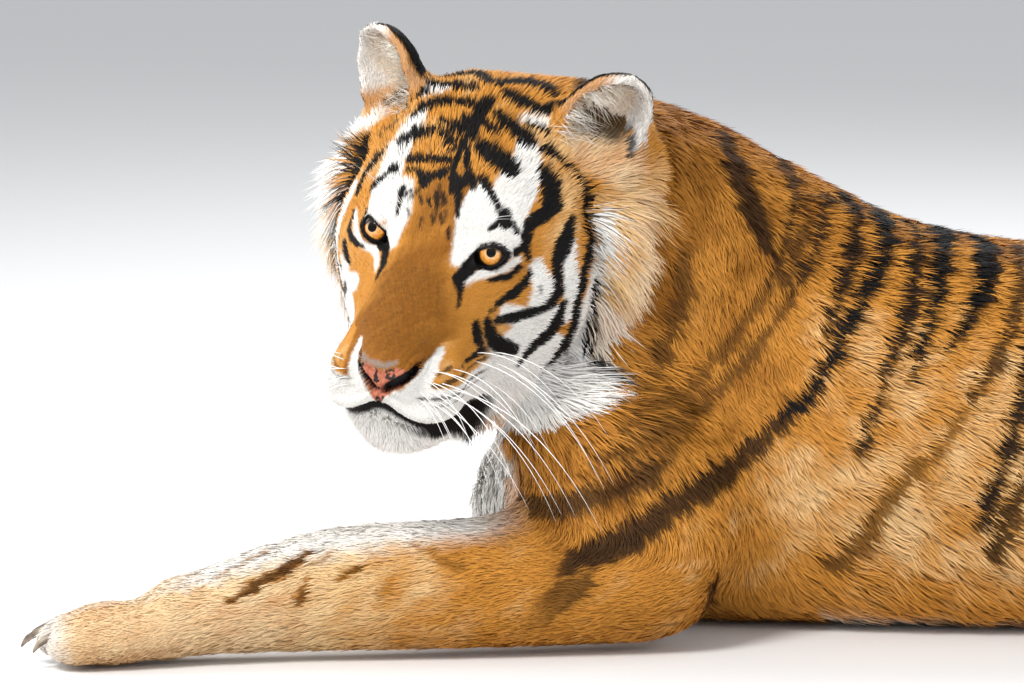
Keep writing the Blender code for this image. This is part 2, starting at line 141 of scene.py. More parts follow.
def headingAlong(path, points):
    # the path's direction where it is nearest to each point, turning smoothly at its corners
    path = np.array(path, float)
    turns = unit(np.diff(path, axis=0))
    _, k, t = placeOn(path, points)
    lead = np.clip(0.5 - t, 0, 1)[:, None]
    trail = np.clip(t - 0.5, 0, 1)[:, None]
    before, after = turns[np.maximum(k - 1, 0)], turns[np.minimum(k + 1, len(turns) - 1)]
    return unit(turns[k] * (1 - lead - trail) + before * lead + after * trail)


# Scene objects

def deselectAll():
    for obj in bpy.context.selected_objects:
        obj.select_set(False)


def makeActive(obj):
    deselectAll()
    obj.select_set(True)
    bpy.context.view_layer.objects.active = obj


def applyAll(obj):
    makeActive(obj)
    for modifier in list(obj.modifiers):
        bpy.ops.object.modifier_apply(modifier=modifier.name)


def newMeshObject(name, points, faces, smooth=True):
    # faces is an array of triangles, or a list of rows of any length
    mesh = bpy.data.meshes.new(name)
    points = np.asarray(points, np.float32)
    if isinstance(faces, np.ndarray):
        corners = faces.shape[1]
        mesh.vertices.add(len(points))
        mesh.vertices.foreach_set("co", points.ravel())
        mesh.loops.add(faces.size)
        mesh.loops.foreach_set("vertex_index", faces.ravel().astype(np.int32))
        mesh.polygons.add(len(faces))
        mesh.polygons.foreach_set("loop_start", np.arange(0, faces.size, corners, dtype=np.int32))
        mesh.update(calc_edges=True)
    else:
        mesh.from_pydata([tuple(map(float, p)) for p in points], [], [list(map(int, f)) for f in faces])
        mesh.update()
    mesh.polygons.foreach_set("use_smooth", np.full(len(mesh.polygons), smooth))
    obj = bpy.data.objects.new(name, mesh)
    bpy.context.scene.collection.objects.link(obj)
    return obj


def pointsOf(mesh):
    points = np.empty(len(mesh.vertices) * 3, np.float32)
    mesh.vertices.foreach_get("co", points)
    return points.reshape(-1, 3).astype(float)


def normalsOf(mesh):
    normals = np.empty(len(mesh.vertices) * 3, np.float32)
    mesh.vertex_normals.foreach_get("vector", normals)
    return normals.reshape(-1, 3).astype(float)


def setPoints(mesh, points):
    mesh.vertices.foreach_set("co", np.asarray(points, np.float32).ravel())
    mesh.update()


def setAttribute(mesh, name, values):
    attribute = mesh.attributes.get(name) or mesh.attributes.new(name, "FLOAT", "POINT")
    attribute.data.foreach_set("value", np.asarray(values, np.float32))


# The skin: the flesh nodes fused, softened and drawn in by the coat's depth

skinPlan = {
    "grain": 0.0085,  # of the fused form
    "softening": 6,  # passes over all of it
    "bodySoftening": 45,  # more passes over the trunk and the legs
    "blur": 14,  # passes that blend one region's coat into the next
}

# One row for each region: how deep the skin lies, and its tufts' length, width and spacing, in millimetres,
# then their lift in degrees at the root and at the tip, and how strongly they gather in locks.
regions = {
    "trunk": ((11, 26, 1.6, 2.5), (25, 7), 0.55),
    "belly": ((14, 38, 2.0, 3.1), (30, 4), 0.8),
    "neck": ((17, 38, 1.9, 2.5), (34, 12), 0.9),
    "limb": ((10, 21, 1.5, 2.4), (23, 7), 0.5),
    "leg": ((8, 15, 1.3, 2.0), (20, 6), 0.35),
    "paw": ((4, 8, 1.2, 1.8), (24, 8), 0.25),
    "tail": ((10, 24, 1.7, 2.6), (30, 10), 0.5),
    "face": ((4, 8, 1.0, 1.5), (22, 6), 0.2),
    "crown": ((7, 15, 1.2, 1.8), (26, 8), 0.3),
    "ruff": ((20, 54, 1.4, 2.0), (30, 12), 0.9),
    "jaw": ((6, 14, 1.2, 1.8), (36, 14), 0.6),
    "ear": ((1.6, 7, 1.0, 1.5), (20, 8), 0.2),
}
# Each node of flesh, with its region and the piece that its coat goes in.
headNodes = ("head", "muzzle", "nose", "jaw")
limbParts = {"foreleg": ("shoulder", "forearm", "paw_front"), "hind_leg": ("thigh", "shank", "paw_hind")}
tailNodes = ("tail_root", "tail_middle", "tail_tip")
regionOf = {"chest": "trunk", "hips": "trunk", "belly": "trunk", "neck": "neck"}
pieceOf = {name: name for name in regionOf}
regionOf |= {"head": "face", "muzzle": "face", "nose": "face", "jaw": "jaw"}
regionOf |= dict.fromkeys(tailNodes, "tail")
pieceOf |= dict.fromkeys(tailNodes, "tail") | dict.fromkeys(headNodes, "crown")
for side in ("left", "right"):
    regionOf[f"ear_{side}"], pieceOf[f"ear_{side}"] = "ear", "ears"
    for limb, parts in limbParts.items():
        for part, region in zip(parts, ("limb", "leg", "paw")):
            regionOf[f"{part}_{side}"], pieceOf[f"{part}_{side}"] = region, f"{limb}_{side}"
fleshNodes = sorted(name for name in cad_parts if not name.startswith(("claw_", "eye_")))


def keepLargest(obj):
    # takes away any loose crumb that the fusing left
    bm = bmesh.new()
    bm.from_mesh(obj.data)
    left, pieces = set(bm.verts), []
    while left:
        piece, edge = set(), [left.pop()]
        while edge:
            vert = edge.pop()
            piece.add(vert)
            for link in vert.link_edges:
                other = link.other_vert(vert)
                if other in left:
                    left.discard(other)
                    edge.append(other)
        pieces.append(piece)
    pieces.sort(key=len)
    bmesh.ops.delete(bm, geom=[vert for piece in pieces[:-1] for vert in piece], context="VERTS")
    bm.to_mesh(obj.data)
    bm.free()


def fuseFlesh():
    copies = []
    for name in sorted(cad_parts):
        if name.startswith("claw_"):
            continue
        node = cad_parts[name]
        obj = bpy.data.objects.new("copy", node.data.copy())
        bpy.context.scene.collection.objects.link(obj)
        copies.append(obj)
    deselectAll()
    for obj in copies:
        obj.select_set(True)
    bpy.context.view_layer.objects.active = copies[0]
    bpy.ops.object.join()
    skin = bpy.context.view_layer.objects.active
    bpy.ops.object.mode_set(mode="EDIT")
    bpy.ops.mesh.select_all(action="SELECT")
    bpy.ops.mesh.remove_doubles(threshold=1e-5)
    bpy.ops.object.mode_set(mode="OBJECT")
    skin.name = skin.data.name = "skin"
    skin.data.materials.clear()
    remesh = skin.modifiers.new("fuse", "REMESH")
    remesh.mode = "VOXEL"
    remesh.voxel_size = skinPlan["grain"]
    remesh.adaptivity = 0.0
    applyAll(skin)
    keepLargest(skin)
    return skin


def nodeMap():
    # a tree over all flesh triangles, and each triangle's region
    points, faces, owners = [], [], []
    for name in fleshNodes:
        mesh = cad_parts[name].data
        start = len(points)
        points += [v.co.copy() for v in mesh.vertices]
        rows = [[start + v for v in polygon.vertices] for polygon in mesh.polygons]
        faces += rows
        owners += [name] * len(rows)
    return BVHTree.FromPolygons(points, faces), owners


class Weave:
    # the edges of a mesh, for blurring values over it

    def __init__(self, mesh):
        edges = np.empty(len(mesh.edges) * 2, np.int32)
        mesh.edges.foreach_get("vertices", edges)
        edges = edges.reshape(-1, 2)
        self.tails = np.concatenate([edges[:, 0], edges[:, 1]])
        self.heads = np.concatenate([edges[:, 1], edges[:, 0]])
        self.count = len(mesh.vertices)
        self.degree = np.bincount(self.heads, minlength=self.count) + 1e-9

    def blur(self, values, passes, share=0.5):
        values = np.array(values, float)
        flat = values.reshape(self.count, -1)
        for _ in range(passes):
            for column in flat.T:
                around = np.bincount(self.heads, weights=column[self.tails], minlength=self.count)
                column += share * (around / self.degree - column)
        return flat.reshape(values.shape)


def softenWhere(skin, passes, weights):
    weave = Weave(skin.data)
    points = pointsOf(skin.data)
    for _ in range(passes):
        target = weave.blur(points, 1, 1.0)
        points += 0.5 * weights[:, None] * (target - points)
    setPoints(skin.data, points)


def subdivideWhere(skin, inside):
    # splits the faces whose middles are inside, once
    bm = bmesh.new()
    bm.from_mesh(skin.data)
    middles = np.array([face.calc_center_median() for face in bm.faces])
    chosen = inside(middles)
    edges = {edge for face, keep in zip(bm.faces, chosen) if keep for edge in face.edges}
    bmesh.ops.subdivide_edges(bm, edges=list(edges), cuts=1, use_grid_fill=True, smooth=0.0)
    bmesh.ops.triangulate(bm, faces=[face for face in bm.faces if len(face.verts) > 4])
    bm.to_mesh(skin.data)
    bm.free()


def nearFace(middles):
    head = toHead(middles)
    fore, left, high = head.T
    return (fore > -0.115) & (high > -0.23) & (np.abs(left) < 0.15) & (fore < 0.2)


def eyeGap(head):
    # the distance to the nearer eye
    nearest = head * np.array((1, 0, 1)) + np.abs(head) * np.array((0, 1, 0))
    return np.linalg.norm(nearest - np.array((0.002, 0.056, -0.002)), axis=1)


def nearFeatures(middles):
    head = toHead(middles)
    mouth = (head[:, 0] > 0.062) & (head[:, 2] > -0.21) & (head[:, 2] < -0.045)
    return nearFace(middles) & ((eyeGap(head) < 0.042) | mouth)


def nearLids(middles):
    return nearFace(middles) & (eyeGap(toHead(middles)) < 0.027)


skin = fuseFlesh()
report(f"skin fused, {len(skin.data.vertices)} points")
tree, owners = nodeMap()
points = pointsOf(skin.data)
nearest = [owners[tree.find_nearest(Vector(p))[2]] for p in points]
report("regions found")
bodyShare = np.array([0.0 if regionOf[name] in ("face", "paw", "ear", "jaw") else 1.0 for name in nearest])
bodyShare = Weave(skin.data).blur(bodyShare, 6)
softenWhere(skin, skinPlan["softening"], np.full(len(points), 0.9))
softenWhere(skin, skinPlan["bodySoftening"], bodyShare)
report("softened")
for place in (nearFace, nearFeatures, nearLids):
    subdivideWhere(skin, place)
report(f"face refined, {len(skin.data.vertices)} points")
weave = Weave(skin.data)
points = pointsOf(skin.data)
names = [owners[tree.find_nearest(Vector(p))[2]] for p in points]

# What each point of the skin belongs to

# Under a line along the ruff's lower edge, the head's solid is covered like the neck.
ruffEdge = np.interp(points[:, 0], (-0.60, -0.375, -0.311, -0.25), (0.17, 0.262, 0.400, 0.50))
names = ["neck" if name == "head" and low else name for name, low in zip(names, points[:, 2] < ruffEdge)]


def labelSkin(points, names):
    # the row of regions that each point takes its coat from
    head = toHead(points)
    rows = [regionOf[name] for name in names]
    back, out, down = -head[:, 0], np.abs(head[:, 1]), -head[:, 2]
    ruff = ramp(back, 0.060, 0.095) * ramp(out, 0.080, 0.110) * ramp(down, -0.075, -0.025)
    ruff += ramp(back, 0.030, 0.070) * ramp(down, 0.110, 0.150) * ramp(out, 0.020, 0.060)
    crown = ramp(back, 0.015, 0.050) * ramp(-down, 0.030, 0.060)
    for k, row in enumerate(rows):
        if row == "face":
            rows[k] = "ruff" if ruff[k] > 0.5 else "crown" if crown[k] > 0.5 else "face"
        elif row == "trunk" and points[k, 2] < 0.13:
            rows[k] = "belly"
    return rows


skinNames = list(regions)
settings = np.array([[*row[0], *row[1], row[2]] for row in regions.values()], float)
rows = labelSkin(points, names)
shares = np.zeros((len(points), len(skinNames)))
shares[np.arange(len(points)), [skinNames.index(row) for row in rows]] = 1
shares = weave.blur(shares, skinPlan["blur"])
coat = shares @ settings  # depth, length, width, spacing, lift at the root, lift at the tip, locks
head = toHead(points)
fore, _, high = head.T
onHead = shares[:, [skinNames.index(name) for name in ("face", "crown", "jaw")]].sum(axis=1)
# The hair shortens towards the nose, and about the eyes and the lips.
noseward = 1 - onHead * 0.62 * ramp(fore, -0.045, 0.075) * (1 - 0.6 * ramp(-high, 0.125, 0.16))
coat[:, 0] *= noseward
coat[:, 1] *= noseward
coat[:, 2] *= 0.5 + 0.5 * noseward
coat[:, 3] *= 0.55 + 0.45 * noseward
# A longer fringe hangs from the jaw's lower edge, behind the chin.
fringe = ramp(-high, 0.128, 0.150) * ramp(-fore, -0.070, -0.030) * ramp(fore, -0.10, -0.06)
fringe *= np.isin(names, ("head", "muzzle", "jaw")) * ramp(onHead, 0.75, 0.95)
coat[:, 1] *= 1 + 1.6 * fringe
coat[:, 4:6] += 7 * fringe[:, None]
report("regions blended")

# The way the coat lies: a line through each part, from its roots to its tips, in the body's own course

layLines = {
    "neck": ((-0.52, -0.10, 0.46), (-0.42, -0.02, 0.42), (-0.30, 0.07, 0.38), (-0.15, 0.10, 0.36)),
    "trunk": ((-0.46, 0.1, 0.42), (-0.25, 0.1, 0.38), (0.1, 0.1, 0.34), (0.45, 0.1, 0.34), (0.72, 0.1, 0.25)),
    "shoulder_left": ((-0.4, -0.03, 0.36), (-0.34, -0.09, 0.2), (-0.27, -0.12, 0.1), (-0.24, -0.125, 0.06)),
    "forearm_left": ((-0.2, -0.125, 0.08), (-0.39, -0.14, 0.08), (-0.6, -0.175, 0.06), (-0.82, -0.2, 0.03)),
    "paw_front_left": ((-0.70, -0.19, 0.05), (-0.82, -0.21, 0.035), (-0.95, -0.23, 0.0)),
    "shoulder_right": ((-0.38, 0.22, 0.36), (-0.30, 0.30, 0.20), (-0.24, 0.31, 0.08)),
    "forearm_right": ((-0.20, 0.31, 0.08), (-0.30, 0.24, 0.07), (-0.40, 0.16, 0.06), (-0.45, 0.10, 0.05)),
    "paw_front_right": ((-0.45, 0.12, 0.05), (-0.40, 0.04, 0.04), (-0.30, -0.01, 0.03)),
    "thigh_left": ((0.50, 0.0, 0.34), (0.42, -0.08, 0.24), (0.32, -0.11, 0.17), (0.28, -0.10, 0.12)),
    "shank_left": ((0.28, -0.08, 0.20), (0.40, -0.12, 0.12), (0.50, -0.13, 0.07), (0.56, -0.13, 0.05)),
    "paw_hind_left": ((0.56, -0.13, 0.06), (0.42, -0.145, 0.05), (0.28, -0.165, 0.03), (0.18, -0.18, 0.0)),
    "tail_root": ((0.60, 0.10, 0.22), (0.70, 0.10, 0.14), (0.79, 0.09, 0.066), (0.88, 0.02, 0.04)),
    "tail_middle": ((0.88, 0.02, 0.04), (0.914, -0.10, 0.038), (0.874, -0.23, 0.037), (0.764, -0.33, 0.036)),
    "tail_tip": ((0.764, -0.33, 0.036), (0.624, -0.38, 0.035), (0.504, -0.395, 0.034), (0.40, -0.40, 0.03)),
}
mirrored = {"thigh_right": "thigh_left", "shank_right": "shank_left", "paw_hind_right": "paw_hind_left"}
midLine = 0.10  # the trunk's middle plane
for name, source in mirrored.items():
    layLines[name] = tuple((x, 2 * midLine - y, z) for x, y, z in layLines[source])


def layOf(points, names, head):
    lay = np.zeros((len(points), 3))
    names = np.array(names)
    for name in sorted(set(names)):
        here = names == name
        if name in headNodes:
            away = head[here] - np.array((0.185, 0.0, -0.060))
            away[:, 0] *= 0.9
            away = unit(away)
            back = ramp(-head[here, 0], 0.05, 0.12)[:, None]
            droop = ramp(-head[here, 2], -0.085, 0.010)[:, None] * back
            side = np.sign(head[here, 1])[:, None] * np.array((0.0, 1.0, 0.0))
            lay[here] = (away * (1 - 0.75 * droop) + 0.20 * back * side) @ headTurn.T
            lay[here] += droop * np.array((0.12, 0, -1.35))
        elif name.startswith("ear"):
            lay[here] = np.array((-0.15, 0.25 * (1 if name == "ear_left" else -1), 1.0)) @ headTurn.T
        else:
            line = layLines.get(name, layLines["trunk"])
            lay[here] = headingAlong(line, points[here])
            if name in ("chest", "belly", "hips", "neck"):
                sides = np.clip((np.abs(points[here, 1] - midLine) - 0.03) / 0.16, 0, 1)
                lay[here] += sides[:, None] * np.array((0, 0, -0.55))
    return unit(lay)


def flatten(vectors, normals):
    return unit(vectors - (vectors * normals).sum(axis=1, keepdims=True) * normals)


normals = normalsOf(skin.data)
lay = unit(layOf(points, names, head) + fringe[:, None] * np.array((0.25, 0, -1.6)))
for _ in range(6):
    lay = flatten(weave.blur(flatten(lay, normals), 5), normals)
report("lay of the coat")

# The skin goes in by the coat's depth, then gets its lids, nose, lips and ears

lidPlan = {
    "normal": (0.881, 0.400, 0.250),  # the way the opening faces, on the left
    "along": (-0.45, 0.80, 0.35),  # from the inner corner to the outer
    "lip": 0.0015,  # the lid's edge over the ball
    "roll": 0.0009,  # the lid's rounded rim
    "fold": 0.0016,  # the crease above the upper lid
    "corner": 0.0030,  # how deep the corner by the nose lies
    "sink": 0.0052,  # how far the skin goes back behind the ball
    "reach": 0.011,  # over which the lid joins the face
    "rim": 0.93,  # the share of the ball's radius that the lids lie over
}
# The left and right opening's outline, in millimetres along the slit and up it, from the inner corner
# over the top.
lidOutlines = {
    1: ((-33, -0.5), (-28, 2), (-23, 5), (-18, 6.8), (-13, 8.2), (-6, 9), (1, 8), (6.2, 4), (9, -3.6),
        (6, -5.4), (2.1, -7), (-4.7, -9.2), (-12.2, -8.6), (-21, -5.3), (-28.6, -2.2)),
    -1: ((-32, -1), (-28, 1), (-23, 3.4), (-18, 5.2), (-13, 7), (-6, 8.6), (1, 9.2), (7, 8.4), (11.5, 6),
         (10.5, 1), (6, -2.4), (0, -4), (-8, -4.6), (-16, -4.4), (-26, -3.4)),
}
lidRims = {1: (4.6, 3.4), -1: (6.0, 1.8)}  # how wide the dark rim is below and above, in millimetres


def eyeFrame(head, side):
    # along the slit, up and outwards from the ball's middle
    flip = np.array((1, side, 1))
    outwards = unit(np.array(lidPlan["normal"]))
    along = np.array(lidPlan["along"])
    along = unit(along - (along @ outwards) * outwards)
    up = np.cross(outwards, along)
    local = (head - np.array(eyePlan["centres"][side])) * flip @ np.stack([along, up, outwards], axis=1)
    return local, (np.stack([along, up, outwards]) * flip)


def flatPath(across, up, line):
    # distance to a line drawn on a plane, and how far along it
    gap, stretch, share = placeOn(np.array(line, float), np.stack([across, up], axis=1))
    return gap, (stretch + share) / (len(line) - 1)


def outlineDepth(across, up, outline):
    # how far inside a closed outline a place is, negative outside
    line = np.array(outline + outline[:1], float)
    gap, _ = flatPath(across, up, line)
    crossings = np.zeros(len(across), int)
    for (x0, y0), (x1, y1) in zip(line[:-1], line[1:]):
        if y0 != y1:
            spans = (up < max(y0, y1)) & (up >= min(y0, y1))
            crossings += spans & (across < x0 + (up - y0) * (x1 - x0) / (y1 - y0))
    return np.where(crossings % 2 == 1, gap, -gap)


def slitInside(along, up, side):
    # how far inside the opening a point is, in metres, negative outside
    return outlineDepth(along * 1000, up * 1000, lidOutlines[side]) / 1000


def eyeRim(head, side):
    # how far inside the opening and its dark rim a point of the head is, in metres
    local, _ = eyeFrame(head, side)
    near = (np.linalg.norm(local, axis=1) < 0.045) & (local[:, 2] > -0.012)
    below, above = lidRims[side]
    inside = slitInside(local[:, 0], local[:, 1], side)
    rim = inside + (below + (above - below) * ramp(local[:, 1], -0.002, 0.004)) / 1000
    return np.where(near, inside, -1.0), np.where(near, rim, -1.0)


def openLids(points):
    head = toHead(points)
    radius = eyePlan["radius"]
    for side in (1, -1):
        local, axes = eyeFrame(head, side)
        near = (np.linalg.norm(local, axis=1) < 0.052) & (local[:, 2] > -0.006)
        along, up, out = local[near].T
        inside = slitInside(along, up, side)
        reach = np.hypot(along, up)
        around = np.minimum(reach, lidPlan["rim"] * radius)
        ball = np.sqrt(radius ** 2 - around ** 2)
        lid = ball + lidPlan["lip"] + lidPlan["roll"] * np.exp(-((inside + 0.0018) / 0.0016) ** 2)
        lid -= lidPlan["fold"] * np.exp(-((inside + 0.0070) / 0.0016) ** 2) * (up > 0.004)
        overBall = ramp(0.022 - reach, 0.0, 0.004)
        joined = 1 - (1 - ramp(-inside, 0.0018, lidPlan["reach"])) * overBall
        target = lid * (1 - joined) + out * joined
        target = np.where(reach < lidPlan["rim"] * radius, np.maximum(target, lid), target)
        corner = ramp(-along, 0.014, 0.020) * ramp(inside, -0.0045, 0.0005)
        target -= lidPlan["corner"] * corner
        sunk = ramp(inside, -0.0005, 0.0022) * (1 - 0.75 * ramp(-along, 0.016, 0.022))
        target = target - sunk * lidPlan["sink"]
        head[near] += (target - out)[:, None] * axes[2]
    return fromHead(head)


# The nose and the mouth. Outlines are in millimetres from the head's middle, out to either side and up.
nosePlan = {
    "middle": 0.002,  # the nose sits this far to the left
    "narrow": 0.84,  # its right side turns away sooner
    "outline": ((-4, -84.5), (4, -83.5), (9, -81.5), (14, -80), (20, -80), (25, -81.5), (29, -84), (31, -89),
                (27, -95), (20, -101), (13, -106), (8, -110), (5, -117), (3, -120), (-4, -120)),
    "nostril": ((6, -104), (13, -98.5), (20, -94), (26, -90), (31.5, -84.5), (34, -77.5)),
    "nostrilHalf": (3.6, 5.0, 5.4, 5.0, 4.2, 3.0),
    "lips": ((0, -120), (10, -124), (18, -130), (28, -136), (40, -141), (52, -143), (200, -146)),
    "proud": 0.0020,  # how far the bare nose stands out
    "deep": 0.0095,  # the nostrils
    "wing": 0.0018,  # the rim round each nostril
    "sides": 0.009,  # how far its sides turn back
    "groove": 0.0050,  # the mouth's line
    "lip": 0.0030,  # how full the lips are
}


def noseSpread(head):
    # millimetres out from the nose's middle, on either side
    across = (head[:, 1] - nosePlan["middle"]) * 1000
    return np.where(across < 0, -across / nosePlan["narrow"], across)


def nosePad(head):
    # 1 on the bare nose, falling to 0 at its edge
    depth = outlineDepth(noseSpread(head), head[:, 2] * 1000, nosePlan["outline"])
    return ramp(depth, -0.7, 0.7) * ramp(head[:, 0], 0.095, 0.108)


def nostrilGap(head):
    return flatPath(noseSpread(head), head[:, 2] * 1000, nosePlan["nostril"])


def nostril(head):
    gap, along = nostrilGap(head)
    halves = nosePlan["nostrilHalf"]
    half = np.interp(along, np.linspace(0, 1, len(halves)), halves)
    return ramp(half - gap, -0.9, 0.9) * ramp(head[:, 0], 0.090, 0.102)


def lipGap(head):
    # the height over the mouth's line
    across = np.abs(head[:, 1] - nosePlan["middle"]) * 1000
    return head[:, 2] - np.interp(across, *zip(*nosePlan["lips"])) / 1000


def mouthGroove(head):
    fore, left, high = head.T
    front = ramp(fore, 0.000, 0.030)
    philtrum = np.exp(-((left - nosePlan["middle"]) / 0.0022) ** 2)
    philtrum *= hill(high, -0.117, 0.007, 0.004)
    line = np.exp(-(lipGap(head) / 0.0028) ** 2)
    return np.maximum(line * front, 0.5 * philtrum * ramp(fore, 0.12, 0.13))


def shapeFace(points, normals):
    head = toHead(points)
    fore, _, high = head.T
    pad = nosePad(head)
    spread = noseSpread(head) / 1000
    level = hill(high, -0.095, 0.030, 0.018) * ramp(fore, 0.08, 0.10)
    change = nosePlan["proud"] * pad - nosePlan["deep"] * nostril(head)
    change -= level * nosePlan["sides"] * ramp(spread, 0.016, 0.044) * ramp(0.060 - spread, 0.0, 0.016)
    rim = np.abs(nostrilGap(head)[0] - 7.5)
    change += nosePlan["wing"] * level * ramp(-rim, -3.0, 0.0)
    change -= nosePlan["groove"] * mouthGroove(head)
    gap = lipGap(head)
    front = ramp(fore, 0.045, 0.085)
    # the lower lip lies behind the upper one
    change += front * nosePlan["lip"] * hill(gap, 0.007, 0.006, 0.006)
    change -= front * nosePlan["lip"] * hill(gap, -0.006, 0.006, 0.006)
    change *= (np.linalg.norm(head - np.array((0.08, 0, -0.11)), axis=1) < 0.16)
    return points + change[:, None] * normals


toePlan = {
    "deep": 0.0085,
    "half": 0.0062,
    "back": 0.062,  # how far the hollows run back from the claws
}


def toeHollows(points):
    # the front of each paw is drawn in between one claw and the next
    for paw in ("front_left", "hind_left", "hind_right"):
        low, high = (np.array(corner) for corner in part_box("paw_" + paw))
        middle = (low + high) / 2
        tips = np.array([np.mean(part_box(f"claw_{paw}_{k}"), axis=0) for k in (1, 2, 3, 4)])
        near = np.nonzero(((points > low - 0.01) & (points < high + 0.01)).all(axis=1))[0]
        here = points[near]
        pull = np.zeros(len(near))
        for gap in (tips[:-1] + tips[1:]) / 2:
            way = unit(middle[:2] - gap[:2])
            offset = here[:, :2] - gap[:2]
            across = offset @ np.array((-way[1], way[0]))
            run = 1 - ramp(offset @ way, 0.25 * toePlan["back"], toePlan["back"])
            pull = np.maximum(pull, np.exp(-(across / toePlan["half"]) ** 2) * run)
        points[near] = here + (toePlan["deep"] * pull)[:, None] * unit(middle - here)
    return points


skinPoints = points - normals * coat[:, :1] / 1000
skinPoints = shapeFace(skinPoints, normals)
skinPoints = openLids(skinPoints)
skinPoints = toeHollows(skinPoints)
skinPoints[:, 2] = np.maximum(skinPoints[:, 2], 0.0008)
setPoints(skin.data, skinPoints)
skin.data.update()
normals = normalsOf(skin.data)
lay = flatten(lay, normals)
report("skin shaped")

# Markings: how black, how pale and how deep an orange each place is

# Strokes on the head are in degrees round a point inside it: turn to its left, rise, half width. Each
# begins with its strength.

headMiddle = (-0.11, 0.0, -0.03)

blackLeft = (
    (1, (18, 61, 3.6), (28, 56, 4.6), (38, 50, 3.8)),  # over the eye
    (1, (8, 76, 1.8), (18, 72, 2.2), (30, 68, 2.2), (35, 66, 1.2)),
    (1, (35, 77, 2.2), (45, 71, 3.2), (51, 65, 3.8), (57, 60, 3.2)),
    (1, (97, 84, 2.4), (88, 77, 3.2), (87, 71, 3), (92, 66, 2.8), (102, 66, 1.6)),
    (1, (170, 84, 1.8), (158, 80, 2.6), (143, 74, 3.4), (128, 70, 3.2), (115, 67, 1.8)),
    (1, (66, 67, 1.5), (75, 61, 2)),
    (1, (67, 55, 2.6), (73, 49, 1.8), (79, 42, 1.3), (82, 34, 1.6), (82, 27, 2.2), (79, 19, 2.8),
     (75, 9, 2.6), (71, 0, 2.4), (69, -10, 2.2), (70, -20, 2.4), (70, -30, 2.6), (66, -38, 2.4),
     (62, -44, 2)),
    (1, (19, 46, 2.4), (24, 42, 2), (28, 35, 1.4), (30, 31, 1.8)),
    (1, (32, 30, 3), (32, 27, 3.8)),
    (1, (32, 27, 2), (24, 23, 0.8)),
    (1, (34, 27, 2), (38, 22, 1.2)),
    (1, (58, 46, 3.2), (61, 40, 5.4), (60, 33, 5.2), (55, 29, 3.4), (48, 27, 3.4), (44, 24, 2.6)),
    (1, (45, 26, 2.6), (42, 20, 3), (41, 15, 2.4), (43, 10, 1.2)),
    (1, (36, 14, 1.8), (41, 17, 1.6)),
    (1, (70, 25, 1.8), (66, 20, 3.2), (61, 13, 4.8), (58, 8, 3.6), (57, 2, 2.8), (57, -5, 2.6),
     (52, -10, 2.6)),
    (1, (54, -10, 2), (45, -12, 2.4), (37, -13, 2.4), (29, -12, 1.4)),
    (1, (60, -11, 2.4), (60, -20, 3.8), (56, -25, 3.6), (49, -29, 3), (43, -34, 1.4)),
    (1, (25, -11, 1.6), (28, -18, 2.4), (33, -23, 2.8), (39, -27, 2)),
    (1, (21, -10, 1.2), (22, -14, 1.5), (24, -18, 0.9)),
    (1, (29, -6, 1.4), (36, -3, 2.4), (41, 1, 2.2), (43, 5, 1.2)),
    (1, (25, 3, 1), (33, 4, 1.6), (38, 8, 1.4)),
    (0.8, (26, -8, 0.9), (28, -8, 0.7)),
    (0.7, (48, -2, 0.9), (48, -4, 0.7)),
    (1, (80, -2, 1.3), (82, -14, 1.5), (87, -28, 1.4), (87, -36, 1)),
    (1, (92, -35, 0.7), (88, -39, 0.8), (83, -42, 0.6)),
    (1, (70, -30, 1.6), (73, -37, 0.9), (74, -43, 0.5)),
    (1, (17, 8, 3), (14, 5, 2.4), (15, 0, 1), (15, -3, 0.6)),  # the tear line
    (0.8, (100, 54, 2.6), (106, 44, 3.2)),  # below the ear
)

blackRight = (
    (1, (150, 85, 1.2), (-170, 81, 2.2), (-140, 78, 2.2), (-122, 74, 2.2), (-114, 70, 1.2)),
    (1, (-93, 67, 1.6), (-95, 73, 2.8), (-97, 80, 2.6), (-100, 86, 1.6)),
    (1, (-62, 60, 2), (-65, 66, 2.8), (-61, 72, 2.4), (-44, 79, 2.2), (0, 82, 2.2)),
    (1, (-82, 58, 1.4), (-84, 63, 1.8), (-84, 67, 1)),
    (1, (-49, 50, 2.6), (-44, 56, 3.8), (-36, 60, 3), (-28, 62, 1.8), (-14, 62, 1.4)),
    (1, (-44, 38, 1.6), (-38, 39, 2.4)),
    (1, (-48, 26, 2), (-46, 30, 2.8), (-43, 34, 1.6), (-41, 37, 1)),
    (1, (-86, 36, 1.8), (-86, 26, 2.8), (-84, 14, 3), (-79, 5, 2.8), (-74, -3, 2.4), (-66, -8, 1.2)),
    (1, (-58, 43, 1.6), (-62, 36, 2.6), (-63, 27, 2.4), (-61, 19, 1.8)),
    (1, (-56, 12, 1), (-53, 5, 1.6), (-47, 3, 1.8), (-39, 3, 1.3), (-33, 4, 0.8)),
    (1, (-52, -1, 1.8), (-47, -4, 2.2), (-43, -6, 1.4)),
    (0.7, (-78, 42, 1.4), (-73, 50, 2), (-70, 56, 1.4)),
    (0.9, (-56, -11, 1.4), (-54, -13, 1.6)),
    (0.9, (-48, -18, 1.6), (-52, -21, 2), (-57, -25, 1.6)),
    (1, (-66, -8, 1.6), (-64, -18, 2.2), (-60, -28, 2)),
    (1, (-18, 8, 2.2), (-15, 4, 1.8), (-15, 0, 1)),
    (1, (-36, 14, 1.8), (-42, 17, 1.4)),
)

